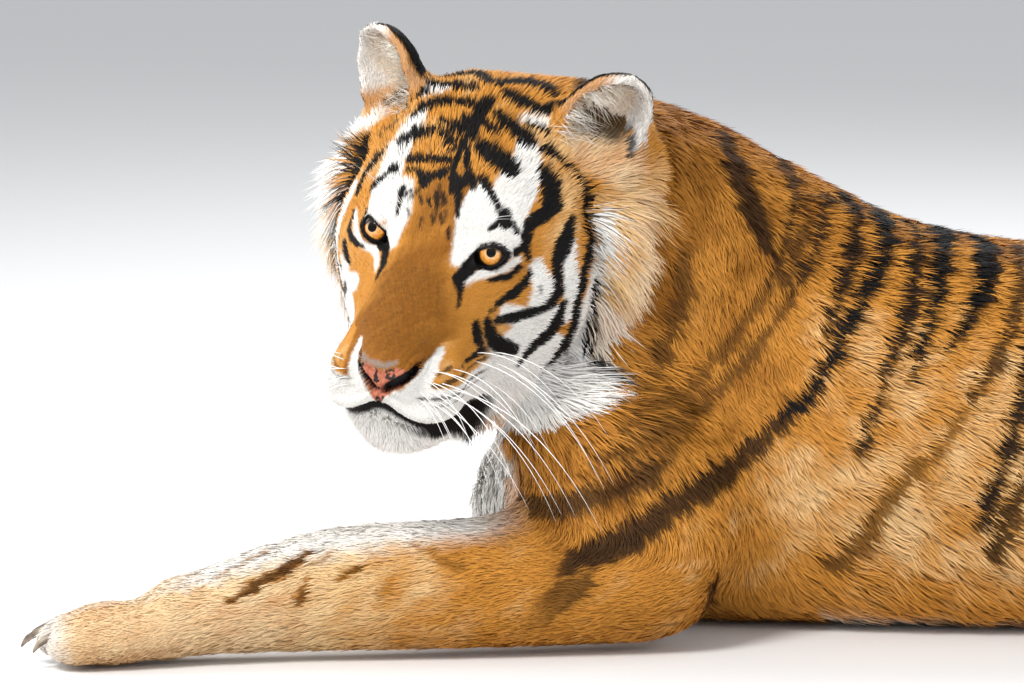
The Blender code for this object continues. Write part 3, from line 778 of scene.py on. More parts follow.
blackMiddle = (
    (1, (20, 84, 2.4), (4, 76, 2.2), (-2, 69, 1.6), (0, 63, 1.5), (-1, 57, 1.4), (-1, 50, 1.3)),
    (1, (-36, 67, 1.2), (-16, 68, 1.8), (0, 69, 1.6)),
    (1, (-33, 46, 1.8), (-23, 50, 1.8), (-12, 52, 1.7), (-4, 53, 1.2)),
    (1, (-22, 43, 1.3), (-14, 43, 1.8), (-7, 47, 1.5)),
    (0.95, (-30, 42, 1.2), (-24, 44, 1)),
    (1, (4, 60, 1.5), (8, 53, 1.5), (12, 47, 1.5), (15, 43, 1.2)),
    (1, (-1, 50, 1.2), (1, 44, 1.4), (2, 38, 0.9)),
    (0.75, (-6, 40, 0.9), (-3, 35, 0.8), (0, 31, 0.6)),
    (1, (7, 38, 1.5), (8, 31, 1.3), (9, 27, 0.7)),
    (1, (-26, 33, 1.4), (-23, 27, 1.1), (-21, 22, 0.6)),
    (0.75, (-19, 30, 0.8), (-16, 37, 1), (-12, 42, 0.8)),
    (0.65, (-3, 29, 0.7), (-2, 24, 0.6)),
    (0.65, (2, 29, 0.7), (3, 24, 0.6)),
    (1, (-14, 74, 1.2), (-4, 74, 1.4)),
    (0.95, (-10, 57, 1.2), (-3, 60, 1.2)),
    (0.85, (10, 66, 1.3), (12, 61, 0.9)),
    (1, (2, 80, 2), (4, 73, 2.4), (4, 65, 2)),
    (1, (-29, 67, 1), (-17, 70, 1.3), (-1, 73, 1)),
    (1, (-21, 64, 1), (-7, 67, 1.4)),
    (1, (-17, 59, 1.2), (-6, 63, 1.2)),
    (1, (-21, 42, 1.2), (-15, 39, 1.8), (-13, 42, 1)),
    (1, (-13, 44, 1.2), (-8, 45, 1.6), (-4, 49, 1.2)),
    (1, (-1, 45, 1.1), (2, 42, 1.6), (5, 37, 0.8)),
    (1, (2, 47, 1.2), (7, 44, 2.2), (6, 40, 1.2)),
    (1, (10, 47, 1.8), (14, 42, 1.6)),
    (0.95, (-9, 33, 0.9), (-6, 29, 0.6)),
    (0.95, (-6, 36, 1.1), (-3, 30, 0.8)),
    (0.95, (-2, 37, 0.9), (1, 32, 0.8)),
    (0.85, (0, 27, 0.8), (2, 24, 0.6)),
    (0.85, (-4, 26, 0.7), (-2, 23, 0.6)),
    (0.95, (6, 21, 0.8), (7, 18, 0.6)),
    (0.95, (-22, 31, 0.9), (-20, 34, 0.8)),
    (0.85, (-14, 33, 0.8), (-11, 30, 0.6)),
    (0.75, (-17, 26, 0.7), (-15, 23, 0.5)),
    (0.75, (-8, 23, 0.7), (-7, 20, 0.5)),
)

whiteLeft = (
    (1, (13, 11, 3), (15, 26, 6.4), (20, 37, 6.6)),
    (1, (17, 14, 2.2), (19, 18, 3.4), (23, 26, 4)),
    (1, (30, 20, 9), (32, 31, 10), (40, 41, 9.5), (48, 50, 6.6), (54, 58, 4.4)),
    (0.9, (66, 70, 2), (77, 65, 3.2)),
    (1, (16, 4, 1.7), (23, 6, 2.2), (31, 8, 2.2), (37, 11, 1.6)),
    (1, (47, 6, 4), (50, -2, 5.4), (47, -8, 4.4)),
    (1, (65, 14, 3.6), (64, 4, 4), (64, -8, 4.6)),
    (1, (33, -10, 3), (48, -17, 6), (62, -16, 6)),
    (1, (28, -24, 4), (40, -22, 6), (54, -32, 9), (68, -36, 8)),
    (1, (30, -34, 9), (46, -42, 10), (62, -52, 10)),
    (1, (88, 24, 2.4), (84, 12, 3.6), (80, 0, 5), (78, -16, 6.6), (78, -34, 8), (76, -50, 9)),
    (0.25, (96, 6, 4), (94, -14, 6), (92, -34, 9)),
    (1, (10, -60, 16), (40, -66, 14), (80, -70, 14)),
    (0.15, (92, 46, 7), (98, 34, 6)),
    (0.60, (91, -14, 5), (93, -32, 7), (86, -44, 9)),
    (0.20, (100, 20, 6), (103, 0, 7), (101, -18, 6)),
)

whiteRight = (
    (1, (-16, 11, 2.4), (-20, 24, 5), (-26, 34, 5)),
    (1, (-18, 14, 2), (-21, 19, 3.2), (-26, 26, 4)),
    (1, (-20, 11, 2), (-22, 15, 2.6)),
    (1, (-32, 20, 7.4), (-38, 30, 9), (-44, 40, 7.6), (-48, 50, 5.4), (-56, 60, 4.2)),
    (1, (-56, 60, 3), (-66, 66, 2)),
    (1, (-84, 67, 2.2), (-88, 74, 2.4)),
    (1, (-54, 12, 1.8), (-46, 7, 2.2), (-36, 5, 2.4), (-24, 6, 2), (-19, 2, 1.6)),
    (1, (-68, 20, 3), (-68, 4, 3.4), (-66, -8, 4.4)),
)

# Deeper or lighter orange on the head: how deep, then a stroke in the same degrees.
warmHead = (
    (0.30, (62, 24, 12), (66, 40, 12)),
    (0.34, (-62, 34, 12), (-66, 50, 14)),
    (0.16, (98, 24, 12), (95, 0, 14), (92, -25, 14)),
    (0.20, (80, 60, 9), (88, 48, 9)),
    (0.95, (0, 16, 11), (0, 4, 12), (0, -8, 15)),
    (0.80, (0, 38, 14), (0, 24, 13)),
    (0.62, (34, 2, 8), (42, 8, 5)),
)

# On the muzzle: strength, then millimetres to its left, up, and half width.
muzzleBlack = (
    (1, (67, -89, 4.6), (68, -90, 4)),
    (0.8, (55, -88, 2.2), (56, -88, 2)),
    (0.7, (49, -92, 1.6), (51, -91, 1.6)),
    (0.8, (78, -92, 2.4), (75, -95, 2.6)),
    (0.8, (71, -97, 2.2), (68, -98, 2.6)),
    (0.8, (63, -98, 2.2), (60, -99, 2.6)),
    (0.8, (56, -100, 1.8), (53, -101, 2.2), (46, -101, 1.4)),
    (0.8, (36, -113, 1.2), (46, -114, 1.8), (56, -113, 1.8), (66, -112, 1.6), (78, -110, 1.2)),
    (0.6, (50, -121, 0.8), (64, -120, 1), (76, -118, 0.8)),
    (0.34, (-22, -77, 2.4), (-8, -79, 2.6), (6, -79, 2.4), (16, -76, 1.6)),
    (0.2, (33, -54, 2.4), (34, -55, 2.2)),
    (0.3, (31, -61, 2.8), (32, -62, 2.4)),
    (0.6, (-56, -72, 2.4), (-57, -73, 2)),
    (0.6, (-48, -90, 2.2), (-49, -91, 1.8)),
    (0.6, (-62, -88, 2.2), (-61, -90, 1.8)),
    (0.6, (-58, -106, 1.2), (-44, -107, 1.4), (-32, -106, 1)),
    (0.6, (-60, -98, 1.4), (-48, -99, 1.6)),
)
muzzleWhite = (
    (1, (40, -80, 3), (38, -92, 4.6), (31, -102, 5), (22, -110, 5), (12, -120, 5)),
    (1, (-28, -84, 3), (-30, -93, 4.4), (-24, -103, 5), (-15, -112, 5), (-6, -121, 4)),
    (1, (43, -74, 3.4), (44, -88, 4), (40, -100, 6)),
    (1, (-31, -70, 2.4), (-32, -84, 4.5), (-28, -100, 8)),
    (1, (-60, -118, 14), (-30, -120, 16), (0, -130, 14), (30, -120, 18), (70, -122, 17)),
    (1, (-84, -128, 18), (-60, -132, 18), (-30, -134, 14)),
    (1, (20, -138, 8), (50, -145, 8), (84, -146, 8)),
    (1, (-23, -94, 3), (-16, -104, 3.4), (-9, -113, 3.2), (0, -122, 2.6)),
    (1, (12, -113, 3), (20, -106, 3.4)),
    (0.35, (-22, -77, 2.4), (-8, -79, 2.6), (6, -79, 2.4), (16, -76, 1.6)),
)


def onSphere(turn, rise):
    turn, rise = np.radians(turn), np.radians(rise)
    return np.stack([np.cos(rise) * np.cos(turn), np.cos(rise) * np.sin(turn), np.sin(rise)], axis=-1)


def strokeAt(places, strokes, soft, scale=None):
    # how strongly the nearest of some strokes covers each place; widths in the units of places
    cover = np.zeros(len(places))
    for strength, *line in strokes:
        line = np.array(line, float)
        ends, half = line[:, :-1], line[:, -1]
        if scale is None:
            ends, half = onSphere(line[:, 0], line[:, 1]), np.radians(half)
        else:
            ends = ends * scale
        reach = half.max() + 2 * soft
        inside = ((places > ends.min(axis=0) - reach) & (places < ends.max(axis=0) + reach)).all(axis=1)
        near = np.nonzero(inside)[0]
        here = places[near]
        best = np.full(len(near), -9.0)
        for k in range(len(ends) - 1):
            step = ends[k + 1] - ends[k]
            t = np.clip(((here - ends[k]) @ step) / max(step @ step, 1e-12), 0, 1)
            gap = np.linalg.norm(here - ends[k] - t[:, None] * step, axis=1)
            best = np.maximum(best, half[k] + t * (half[k + 1] - half[k]) - gap)
        cover[near] = np.maximum(cover[near], strength * ramp(best, -soft, soft))
    return cover


def blendStrokes(values, places, strokes, soft, scale=None):
    for value, *line in strokes:
        share = strokeAt(places, ((1, *line),), soft, scale)
        values = values + share * (value - values)
    return values


def widened(strokes, share):
    return [[strength] + [(a, b, half * share) for a, b, half in line] for strength, *line in strokes]


markPlan = {
    "soft": math.radians(0.55),  # of a stroke's edge on the head
    "waver": {"head": 0.012, "body": 0.022, "leg": 0.020},  # how long the wobbles of an edge are
    "middleWider": 1.22,  # the brow's strokes
    "plainWarm": 0.46,
}


def maskMarks(points, head, grain):
    # the strokes round the head, mirrored where it is turned away
    away = unit(head - np.array(headMiddle))
    shaken = away + 0.0045 * shakes(points, 0.6 * grain, 51, 52, 53)
    turned = np.degrees(np.arctan2(away[:, 1], away[:, 0]))
    mirror = shaken * np.array((1, -1, 1))
    rise = np.degrees(np.arcsin(away[:, 2]))
    limit = np.interp(rise, (-40, -10, 0, 10, 30, 60), (71, 74, 80, 87, 90, 92))
    hidden = ramp(-turned - limit, 8, 14)
    soft, plain = markPlan["soft"], np.full(len(points), markPlan["plainWarm"])
    brow = widened(blackMiddle, markPlan["middleWider"])
    black = np.maximum(strokeAt(shaken, blackLeft, soft), strokeAt(shaken, brow, soft))
    black = np.maximum(black, strokeAt(shaken, blackRight, soft) * (1 - hidden))
    black = np.maximum(black, strokeAt(mirror, blackLeft, soft) * hidden)
    white = np.maximum(strokeAt(shaken, whiteLeft, 2 * soft), strokeAt(shaken, whiteRight, 2 * soft))
    low = ramp(-turned, 66, 72) * ramp(-away[:, 2], -0.3, -0.2)
    low = np.maximum(low, ramp(-away[:, 2], 0.05, 0.15) * (turned < 0))
    white = np.maximum(white, strokeAt(mirror, whiteLeft, 2 * soft) * np.maximum(low, hidden))
    edge = ramp(-turned - limit, 0, 3) * hill(rise, 2, 40, 12) * (1 - ramp(-turned - limit, 11, 16))
    white = np.maximum(white, edge)
    black *= 1 - edge
    warm = blendStrokes(plain, shaken, warmHead, math.radians(6))
    mirrored = blendStrokes(plain, mirror, warmHead, math.radians(6))
    return black, white, warm + hidden * (mirrored - warm)


def muzzleMarks(points, head, black, white, warm):
    # the muzzle's front, and the grizzled brown bridge above it
    fore, left, high = head.T
    flat = head[:, 1:] * 1000 + 0.8 * shakes(points, 0.006, 54, 55)
    front = ramp(fore, 0.020, 0.040)
    muzzle = front * strokeAt(flat, muzzleWhite, 1.6, 1.0)
    white = white * (1 - front * ramp(-high, 0.03, 0.05) * ramp(high, -0.105, -0.100))
    white = np.maximum(white, muzzle)
    black = np.maximum(black, front * strokeAt(flat, muzzleBlack, 0.7, 1.0))
    warm = np.where((front > 0.5) & (np.abs(left) > 0.042) & (high < -0.066), 0.42, warm)
    bridge = ramp(fore, 0.030, 0.060) * (1 - ramp(np.abs(left), 0.030, 0.046))
    bridge *= ramp(high, -0.080, -0.060)
    black = np.maximum(black, 0.25 * bridge * (0.7 + 0.5 * ripple(points, 0.006, 57)) * (1 - white))
    return black, white, warm


# How far the black goes below the mouth's line: metres to the left, then down.
lipBand = ((-0.070, 0.003), (-0.040, 0.005), (-0.020, 0.010), (0.0, 0.026), (0.020, 0.020), (0.040, 0.016),
           (0.052, 0.034), (0.070, 0.036), (0.090, 0.010))


def chinMarks(points, head, black, white):
    # the white chin, and the black lower lip with its dotted right side
    fore, left, _ = head.T
    gap = lipGap(head)
    white = np.maximum(white, ramp(-gap, 0.0, 0.004) * ramp(fore, 0.0, 0.02))
    lip = np.interp(left, *zip(*lipBand))
    band = ramp(-gap, -0.001, 0.001) * ramp(lip + gap, -0.006, 0.004) * ramp(fore, 0.0, 0.02)
    dotted = ramp(-gap, 0.007, 0.012) * ramp(-left, -0.040, -0.026)
    band *= 1 - dotted * (1 - 0.75 * ramp(ripple(points, 0.005, 56), 0.0, 0.5))
    return np.maximum(black, band), white


def headMarks(points, grain):
    head = toHead(points)
    black, white, warm = muzzleMarks(points, head, *maskMarks(points, head, grain))
    black, white = chinMarks(points, head, black, white)
    # dark rims round the eyes, and painted shade in the ears' canals
    for side in (1, -1):
        black = np.maximum(black, ramp(eyeRim(head, side)[1], -0.0006, 0.0008))
        ahead, inward, up = earPlace(points, side)[0].T
        cup = oval(inward, up, *earPlan["cup"])
        black = np.maximum(black, 0.85 * cup * ramp(-ahead, -0.016, -0.004))
    return black, white, warm


# Strokes on the body: strength, then centimetres along it, degrees round its middle from the left flank
# (0) over the back (90), and half width in centimetres.
bodyBlack = (
    (0.85, (-25, 78, 1), (-23.5, 70, 1.5), (-21.8, 65, 1.2), (-20.3, 60, 0.7)),
    (0.8, (-19, 89, 0.9), (-18, 80, 0.9), (-17.6, 74, 0.6), (-18.2, 64, 0.5), (-19.5, 52, 0.4)),
    (0.5, (-19.5, 52, 0.5), (-21.5, 44, 0.5), (-24, 35, 0.6), (-27, 27, 0.7), (-30, 19, 0.8),
     (-36, 9, 0.6)),
    (0.7, (-16, 77, 0.3), (-16.3, 69, 0.4), (-17.3, 61, 0.4), (-18.3, 54, 0.3)),
    (0.9, (-14.2, 80, 0.7), (-14.6, 72, 0.7), (-15.3, 63, 0.5), (-16.4, 56, 0.5), (-17.3, 51, 0.4)),
    (0.55, (-17.3, 51, 0.4), (-18.7, 44, 0.5), (-20.3, 38, 0.6), (-22.3, 30, 0.7), (-24.7, 23, 0.8),
     (-27.8, 17, 0.8), (-31, 10, 0.8), (-34.6, 5, 0.7), (-38, 2, 0.5)),
    (0.95, (-12.4, 88, 0.9), (-11.5, 80, 1), (-11.4, 71, 0.9), (-11.8, 62, 0.7), (-12.8, 54, 0.6),
     (-13.6, 46, 0.5), (-14.2, 39, 0.3)),
    (1, (-9.4, 96, 0.9), (-8.4, 84, 1.2), (-8.2, 70, 1.2), (-9.1, 60, 1), (-10.4, 53, 0.9),
     (-11.6, 45, 0.8), (-12.8, 39, 0.8), (-13.8, 32, 0.8), (-14.8, 26, 0.8), (-16, 19, 0.8),
     (-17.8, 13, 0.7)),
    (0.85, (-17.8, 13, 0.7), (-19.5, 7, 0.8), (-21.9, 1, 1), (-24.2, -3, 1.2), (-26.7, -5, 1.1),
     (-29.8, -8, 1), (-32.1, -12, 1), (-34.5, -15, 1), (-37.2, -17, 0.9), (-40, -19, 0.6)),
    (0.95, (-6, 90, 0.6), (-5.2, 79, 0.7), (-5, 67, 0.8), (-5.4, 57, 0.8), (-6.1, 47, 0.9),
     (-6.9, 40, 0.8), (-7.7, 31, 0.7), (-8.5, 24, 0.6), (-9.4, 17, 0.5), (-10.2, 9, 0.5), (-10.8, 0, 0.4)),
    (1, (-3.4, 96, 0.9), (-1.8, 88, 1.5), (-2.1, 79, 1.4), (-2.3, 67, 1.2), (-2.8, 57, 1),
     (-3.6, 48, 0.8), (-4.4, 38, 0.7), (-5.1, 30, 0.6), (-5.9, 21, 0.4)),
    (1, (-2, 92, 1), (0.9, 90, 1.2), (2.1, 79, 1.3), (2.4, 65, 1.5), (1.5, 55, 1.2), (0.4, 47, 0.8),
     (-0.6, 40, 0.6), (-1.8, 33, 0.4)),
    (0.8, (6, 84, 0.7), (5.6, 62, 0.8), (5.1, 50, 0.8), (4.1, 41, 0.8), (2.9, 32, 0.7), (1.7, 24, 0.7),
     (0.6, 16, 0.5)),
    (0.5, (0, 15, 0.5), (-1.6, 7, 0.6), (-3, 1, 0.6), (-5, -6, 0.5)),
    (0.95, (9.5, 92, 1), (9, 72, 1.1), (8.2, 56, 1.1), (6.9, 40, 1), (6, 26, 1), (5.2, 14, 0.9),
     (4.2, 6, 0.9), (3.4, -2, 0.8), (2.5, -9, 0.8), (1.5, -15, 0.7), (0.7, -20, 0.5)),
    (0.85, (8.5, 8, 0.6), (7, 0, 0.8), (5.5, -9, 0.9), (3.8, -17, 0.9), (2.6, -26, 0.8)),
    # partly painted shade low on the flank, partly the dark tips of its hair
    (0.6, (-5, -2, 0.5), (-8.4, -13, 0.9), (-10, -22, 1), (-14, -32, 1)),
    (0.45, (-28.6, 11, 0.7), (-30.5, 4, 0.9), (-32.2, -1, 1)),
    (0.75, (-32.2, -1, 1), (-35.7, -4, 1.1), (-38.4, -7, 0.9), (-41, -9, 0.7), (-44, -10, 0.5)),
    (0.6, (-37, -22, 0.6), (-41, -25, 0.9), (-43, -28, 0.8), (-46, -29, 0.5)),
    # a black-brown stripe under the ruff's edge, with painted shadow of the ruff over it
    (0.55, (-29, 50, 0.9), (-31, 38, 1.1), (-33, 27, 0.9), (-36, 16, 0.6)),
    # mostly painted shadow behind the elbow, with a dark stripe
    (0.6, (-25, -28, 0.8), (-25.5, -38, 1), (-26, -46, 0.8)),
)
hindBlack = (
    (1, (17, 94, 1), (16.5, 76, 1.2), (15.5, 56, 1.1), (14, 36, 0.9), (13, 14, 0.8), (12, -8, 0.7),
     (11, -22, 0.5)),
    (0.9, (22, 88, 0.8), (22.5, 70, 1), (21.5, 52, 0.8), (20.5, 38, 0.5)),
    (1, (27.5, 95, 1), (27, 74, 1.2), (25.5, 50, 1.1), (24, 28, 1), (22.5, 6, 0.8), (21.5, -12, 0.6)),
    (0.9, (19, 30, 0.4), (18, 12, 0.8), (17, -8, 0.8), (16.5, -20, 0.5)),
    (1, (34, 88, 1), (35, 68, 1.2), (34, 46, 1), (32, 26, 0.8), (30.5, 8, 0.6)),
    (0.9, (39.5, 96, 0.9), (40, 76, 1.1), (39.5, 60, 0.8), (38, 44, 0.4)),
    (1, (45, 90, 1.1), (46, 70, 1.2), (44.5, 48, 1.1), (41.5, 28, 0.9), (38, 10, 0.7), (36, -4, 0.5)),
    (1, (51, 96, 0.9), (52, 76, 1.2), (51.5, 56, 1.2), (48.5, 34, 1), (44.5, 14, 0.8), (41.5, -6, 0.6)),
    (1, (57, 92, 1), (58.5, 72, 1.1), (58, 50, 1), (54.5, 28, 0.9), (50.5, 8, 0.8), (47, -10, 0.6)),
    (0.9, (64, 94, 0.9), (64.5, 70, 1), (63, 44, 0.9), (59.5, 20, 0.8), (56, -4, 0.6)),
    (0.8, (33, -2, 0.4), (30, -12, 0.7), (28, -24, 0.6)),
    (0.8, (53, -14, 0.5), (47, -20, 0.7), (41, -26, 0.6)),
)
# Bands on the stretched foreleg, the same way, with the degrees round the leg.
legBlack = (
    (0.7, (-73.2, 24, 0.25), (-71, 40, 0.55), (-69, 47, 0.65), (-67, 52, 0.6), (-65, 64, 0.25)),
    (0.4, (-74.5, 64, 0.2), (-72, 72, 0.3), (-69.5, 78, 0.25)),
    (0.45, (-66, 5, 0.5), (-66, 26, 0.45), (-65.3, 38, 0.2)),
    (0.3, (-65.3, 48, 0.2), (-63, 61, 0.3)),
    (0.55, (-62.4, 32, 0.2), (-61, 38, 0.45), (-60, 45, 0.3)),
    (0.25, (-55.5, 60, 0.2), (-53, 46, 0.4), (-52, 36, 0.6), (-50, 29, 0.5)),
    (0.2, (-58, 5, 0.6), (-57, 20, 0.4)),
)
warmBody = (
    (0.72, (-44, 6, 9), (-34, 14, 9), (-24, 30, 9), (-18, 48, 8)),
    (0.34, (-28, 50, 3), (-30, 42, 3)),
    (0.86, (-32, 74, 7), (-31, 60, 5), (-32, 46, 4)),
    (0.34, (-10, 22, 6), (-2, 12, 7), (8, 8, 8)),
    (0.26, (-16, -12, 5), (-6, -16, 6), (8, -14, 7)),
    (0.30, (-14, 40, 4), (-10, 32, 5)),
)


def bodyMarks(points, owner, grain):
    shaken = points + 0.0030 * shakes(points, grain, 61, 62, 63)
    turned = np.degrees(np.arctan2(shaken[:, 2] - 0.20, midLine - shaken[:, 1]))
    scale = np.array((1.0, 0.33))
    places = np.stack([shaken[:, 0] * 100, turned], axis=1) * scale
    farTurn = np.where(turned < -90, -180 - turned, 180 - turned)
    hidden = (turned > 96) | (turned < -90)
    far = np.stack([shaken[:, 0] * 100 + 1.5 * np.sin(farTurn / 17), farTurn], axis=1) * scale
    strokes = bodyBlack + hindBlack
    black = np.where(hidden, strokeAt(far, strokes, 0.28, scale), strokeAt(places, strokes, 0.28, scale))
    warm = 0.50 + 0.20 * ramp(turned, 40, 80) * ramp(140 - turned, 0, 40)
    warm = blendStrokes(warm, places, warmBody, 2.4, scale)
    # the right side mirrors the left one
    mirrored = blendStrokes(np.full(len(points), 0.5), far, warmBody, 2.4, scale)
    warm = np.where(hidden | (turned > 90), mirrored, warm)
    warm += 0.8 * black * (1 - warm)  # a faint stripe is brown
    side = np.abs(points[:, 1] - midLine)
    white = ramp(-points[:, 2], -0.085, -0.030) * ramp(-side, -0.16, -0.10) * (points[:, 0] > -0.15)
    chest = np.linalg.norm((points - np.array((-0.44, 0.02, 0.17))) / np.array((0.07, 0.12, 0.10)), axis=1)
    white = np.maximum(white, ramp(-chest, -1.15, -0.85))
    # the throat is white on its front and its right side only
    throat = (owner == "neck") * ramp(-(points[:, 2] + 0.9 * (points[:, 0] + 0.44)), -0.30, -0.24)
    throat *= ramp(points[:, 1] - 0.9 * (points[:, 0] + 0.50), -0.02, 0.03)
    return black * (1 - throat), np.maximum(white, throat), warm


def legMarks(points, grain):
    # the stretched left foreleg, pale towards its paw and along its inner side
    path = np.array(layLines["forearm_left"] + layLines["paw_front_left"][1:])
    path = path[np.argsort(path[:, 0])]
    middle = np.interp(points[:, 0], path[:, 0], path[:, 1])
    height = np.interp(points[:, 0], (-0.95, -0.82, -0.68, -0.55, -0.35), (0.02, 0.036, 0.060, 0.070, 0.075))
    shaken = points + 0.0025 * shakes(points, grain, 64, 65, 66)
    turned = np.degrees(np.arctan2(shaken[:, 2] - height, middle - shaken[:, 1]))
    scale = np.array((1.0, 0.11))
    places = np.stack([shaken[:, 0] * 100, turned], axis=1) * scale
    black = strokeAt(places, legBlack, 0.40, scale)
    out = ramp(-points[:, 0], 0.44, 0.66)
    warm = 0.50 - 0.36 * out - 0.10 * out * ramp(turned, 10, 50)
    warm += 0.10 * hill(points[:, 0], -0.855, 0.03, 0.04)
    warm = warm + 0.9 * ramp(black, 0.0, 0.5) * (1 - warm)
    top = ramp(turned, 42, 72) * ramp(-points[:, 0], 0.42, 0.50) * (1 - 0.6 * ramp(-points[:, 0], 0.74, 0.82))
    white = np.maximum(0.95 * top, 0.12 * ramp(-points[:, 0], 0.60, 0.72))
    white = np.maximum(white, 0.85 * ramp(-points[:, 0], 0.875, 0.92))
    white = white * (1 - ramp(black, 0.0, 0.5))
    return black, white, warm


plainLegs = ("shank_left", "shank_right", "paw_hind_left", "paw_hind_right", "forearm_right",
             "paw_front_right")


def markings(points, owner, outwards):
    black, white, warm = bodyMarks(points, owner, markPlan["waver"]["body"])
    onHead = np.isin(owner, headNodes)
    if onHead.any():
        marks = headMarks(points[onHead], markPlan["waver"]["head"])
        black[onHead], white[onHead], warm[onHead] = marks
    onLeg = np.isin(owner, ("forearm_left", "paw_front_left"))
    if onLeg.any():
        marks = legMarks(points[onLeg], markPlan["waver"]["leg"])
        share = ramp(-points[onLeg, 0], 0.38, 0.46)
        for values, mark in zip((black, white, warm), marks):
            values[onLeg] = values[onLeg] + share * (mark - values[onLeg])
    for side, name in earPlan["nodes"].items():
        here = owner == name
        black[here], white[here], warm[here] = earMarks(points[here], side, outwards[here])
    onTail = np.isin(owner, tailNodes)
    black[onTail], white[onTail], warm[onTail] = tailMarks(points[onTail])
    for name in plainLegs:
        here = owner == name
        white[here] = np.maximum(white[here], 0.6 * ramp(-points[here, 2], -0.07, -0.03))
        warm[here] = 0.40
        bands = ripple(points[here] * np.array((1, 0.3, 0.3)), 0.12, 71)
        black[here] = 0.6 * ramp(bands, 0.75, 0.95)
    warm = np.clip(warm + 0.10 * ripple(points, 0.05, 72) + 0.06 * ripple(points, 0.014, 73), 0, 1)
    return np.clip(black, 0, 1), np.clip(white, 0, 1), warm


earPlan = {
    "nodes": {1: "ear_left", -1: "ear_right"},
    "lean": {1: 34, -1: 20},  # degrees outwards from upright
    "turn": 28,  # degrees outwards from straight ahead
    # ovals on the ear: the middle, in metres towards the head and up, the size and the edge
    "spot": ((0, -0.002), (0.020, 0.017), (0.8, 1.1)),  # white, on its back
    # the canal's oval is painted dark, as painted shade in its hollow
    "canal": ((-0.004, -0.040), (0.014, 0.012), (0.7, 1.2)),
    "notch": ((-0.036, -0.026), (0.010, 0.022), (0.7, 1.2)),
    "middle": ((0, 0.002), (0.030, 0.040), (0.7, 1.1)),  # barer than the rest of the cup
    "cup": ((0, -0.014), (0.034, 0.026), (0.75, 1.1)),
}


def earPlace(points, side):
    # forwards out of the ear's cup, across it towards the head's middle, and up, from its own middle
    low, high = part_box(earPlan["nodes"][side])
    middle = toHead((np.array(low) + np.array(high))[None] / 2)[0]
    lean, turn = math.radians(earPlan["lean"][side]), math.radians(earPlan["turn"])
    up = np.array((0, side * math.sin(lean), math.cos(lean)))
    ahead = np.array((math.cos(turn), side * math.sin(turn), 0))
    ahead = unit(ahead - up * (ahead @ up))
    inward = np.cross(up, ahead) * -side
    return (toHead(points) - middle) @ np.stack([ahead, inward, up]).T, np.stack([ahead, inward, up])


def earMarks(points, side, outwards):
    # pale within, its front edge orange, its back black with a white spot
    local, axes = earPlace(points, side)
    inward, up = local.T[1:]
    opening = (outwards @ headTurn) @ axes[0]
    within = ramp(opening, -0.10, 0.25)
    ovals = (oval(inward, up, *earPlan[name]) for name in ("spot", "canal", "notch", "middle"))
    spot, canal, notch, middle = ovals
    base = ramp(-up, 0.030, 0.046)
    rimTop = ramp(np.hypot(inward / 0.049, up / 0.066), 0.86, 0.94)
    black = (1 - within) * (1 - spot) * (1 - base)
    black = np.maximum(black, hill(opening, -0.05, 0.16, 0.15) * rimTop * ramp(up, 0.015, 0.035))
    # painted shade in the canal's hollow
    black = np.maximum(black, canal * within)
    black = np.maximum(black, 0.9 * notch * (side == 1))
    front = ramp(inward, 0.012, 0.030)
    pale = within * (0.95 - 0.42 * middle) * (1 - 0.85 * front) * (1 - 0.9 * ramp(-up, 0.016, 0.032))
    pale = np.maximum(pale, 0.9 * spot * (1 - within))
    warm = 0.40 + 0.12 * front - 0.20 * middle
    return np.clip(black, 0, 1), np.clip(pale, 0, 1), warm


# Each ring's place in metres down the tail, and its half width in centimetres.
tailRings = ((0.10, 0.9), (0.19, 1.0), (0.28, 1.0), (0.37, 1.1), (0.46, 1.1), (0.55, 1.2), (0.64, 1.2),
             (0.73, 1.3), (0.82, 1.4), (0.91, 2.0))


def tailMarks(points):
    path = np.array(layLines["tail_root"] + layLines["tail_middle"][1:] + layLines["tail_tip"][1:])
    steps = np.linalg.norm(np.diff(path, axis=0), axis=1)
    starts = np.concatenate([[0], np.cumsum(steps)])
    _, stretch, share = placeOn(path, points)
    along = starts[stretch] + share * steps[stretch] + 0.006 * ripple(points, 0.05, 74)
    black = np.zeros(len(points))
    for place, half in tailRings:
        black = np.maximum(black, ramp(half / 100 - np.abs(along - place), -0.003, 0.003))
    black = np.maximum(black, ramp(along, starts[-1] - 0.10, starts[-1] - 0.08))
    under = ramp(-points[:, 2], -0.045, -0.015)
    return black, np.maximum(0.35 * ramp(along, 0.2, 0.6), 0.8 * under), np.full(len(points), 0.45)


# An unwrap of the skin's own shape, where every tuft finds its patch

def unwrapSkin():
    makeActive(skin)
    while skin.data.uv_layers:
        skin.data.uv_layers.remove(skin.data.uv_layers[0])
    skin.data.uv_layers.new(name="OFBake")
    bpy.ops.object.mode_set(mode="EDIT")
    bpy.ops.mesh.select_all(action="SELECT")
    bpy.ops.uv.smart_project(angle_limit=math.radians(66), island_margin=0.002)
    bpy.ops.object.mode_set(mode="OBJECT")
    uv = np.empty(len(skin.data.loops) * 2, np.float32)
    skin.data.uv_layers["OFBake"].data.foreach_get("uv", uv)
    return uv.reshape(-1, 2)


skinUv = unwrapSkin()
report("skin unwrapped")

# The coat

coatPlan = {
    "mostTriangles": 195000,  # in one piece
    "patch": 0.003,  # each tuft's share of the unwrap
    "wander": (0.22, 0.12),  # of the lay, over wide and narrow waves, in radians
    "stray": 0.10,  # of each tuft from it
    "lengths": (0.72, 1.12),  # least and most, as shares of the region's own
    "bend": 0.42,  # the share of its length below a tuft's bend
    "roll": 0.45,  # how far the tufts turn about their own length
    "lockSize": 0.016,
    "rounding": 2.6,  # how strongly the shading follows the skin
    "clearFloor": 0.0006,
}


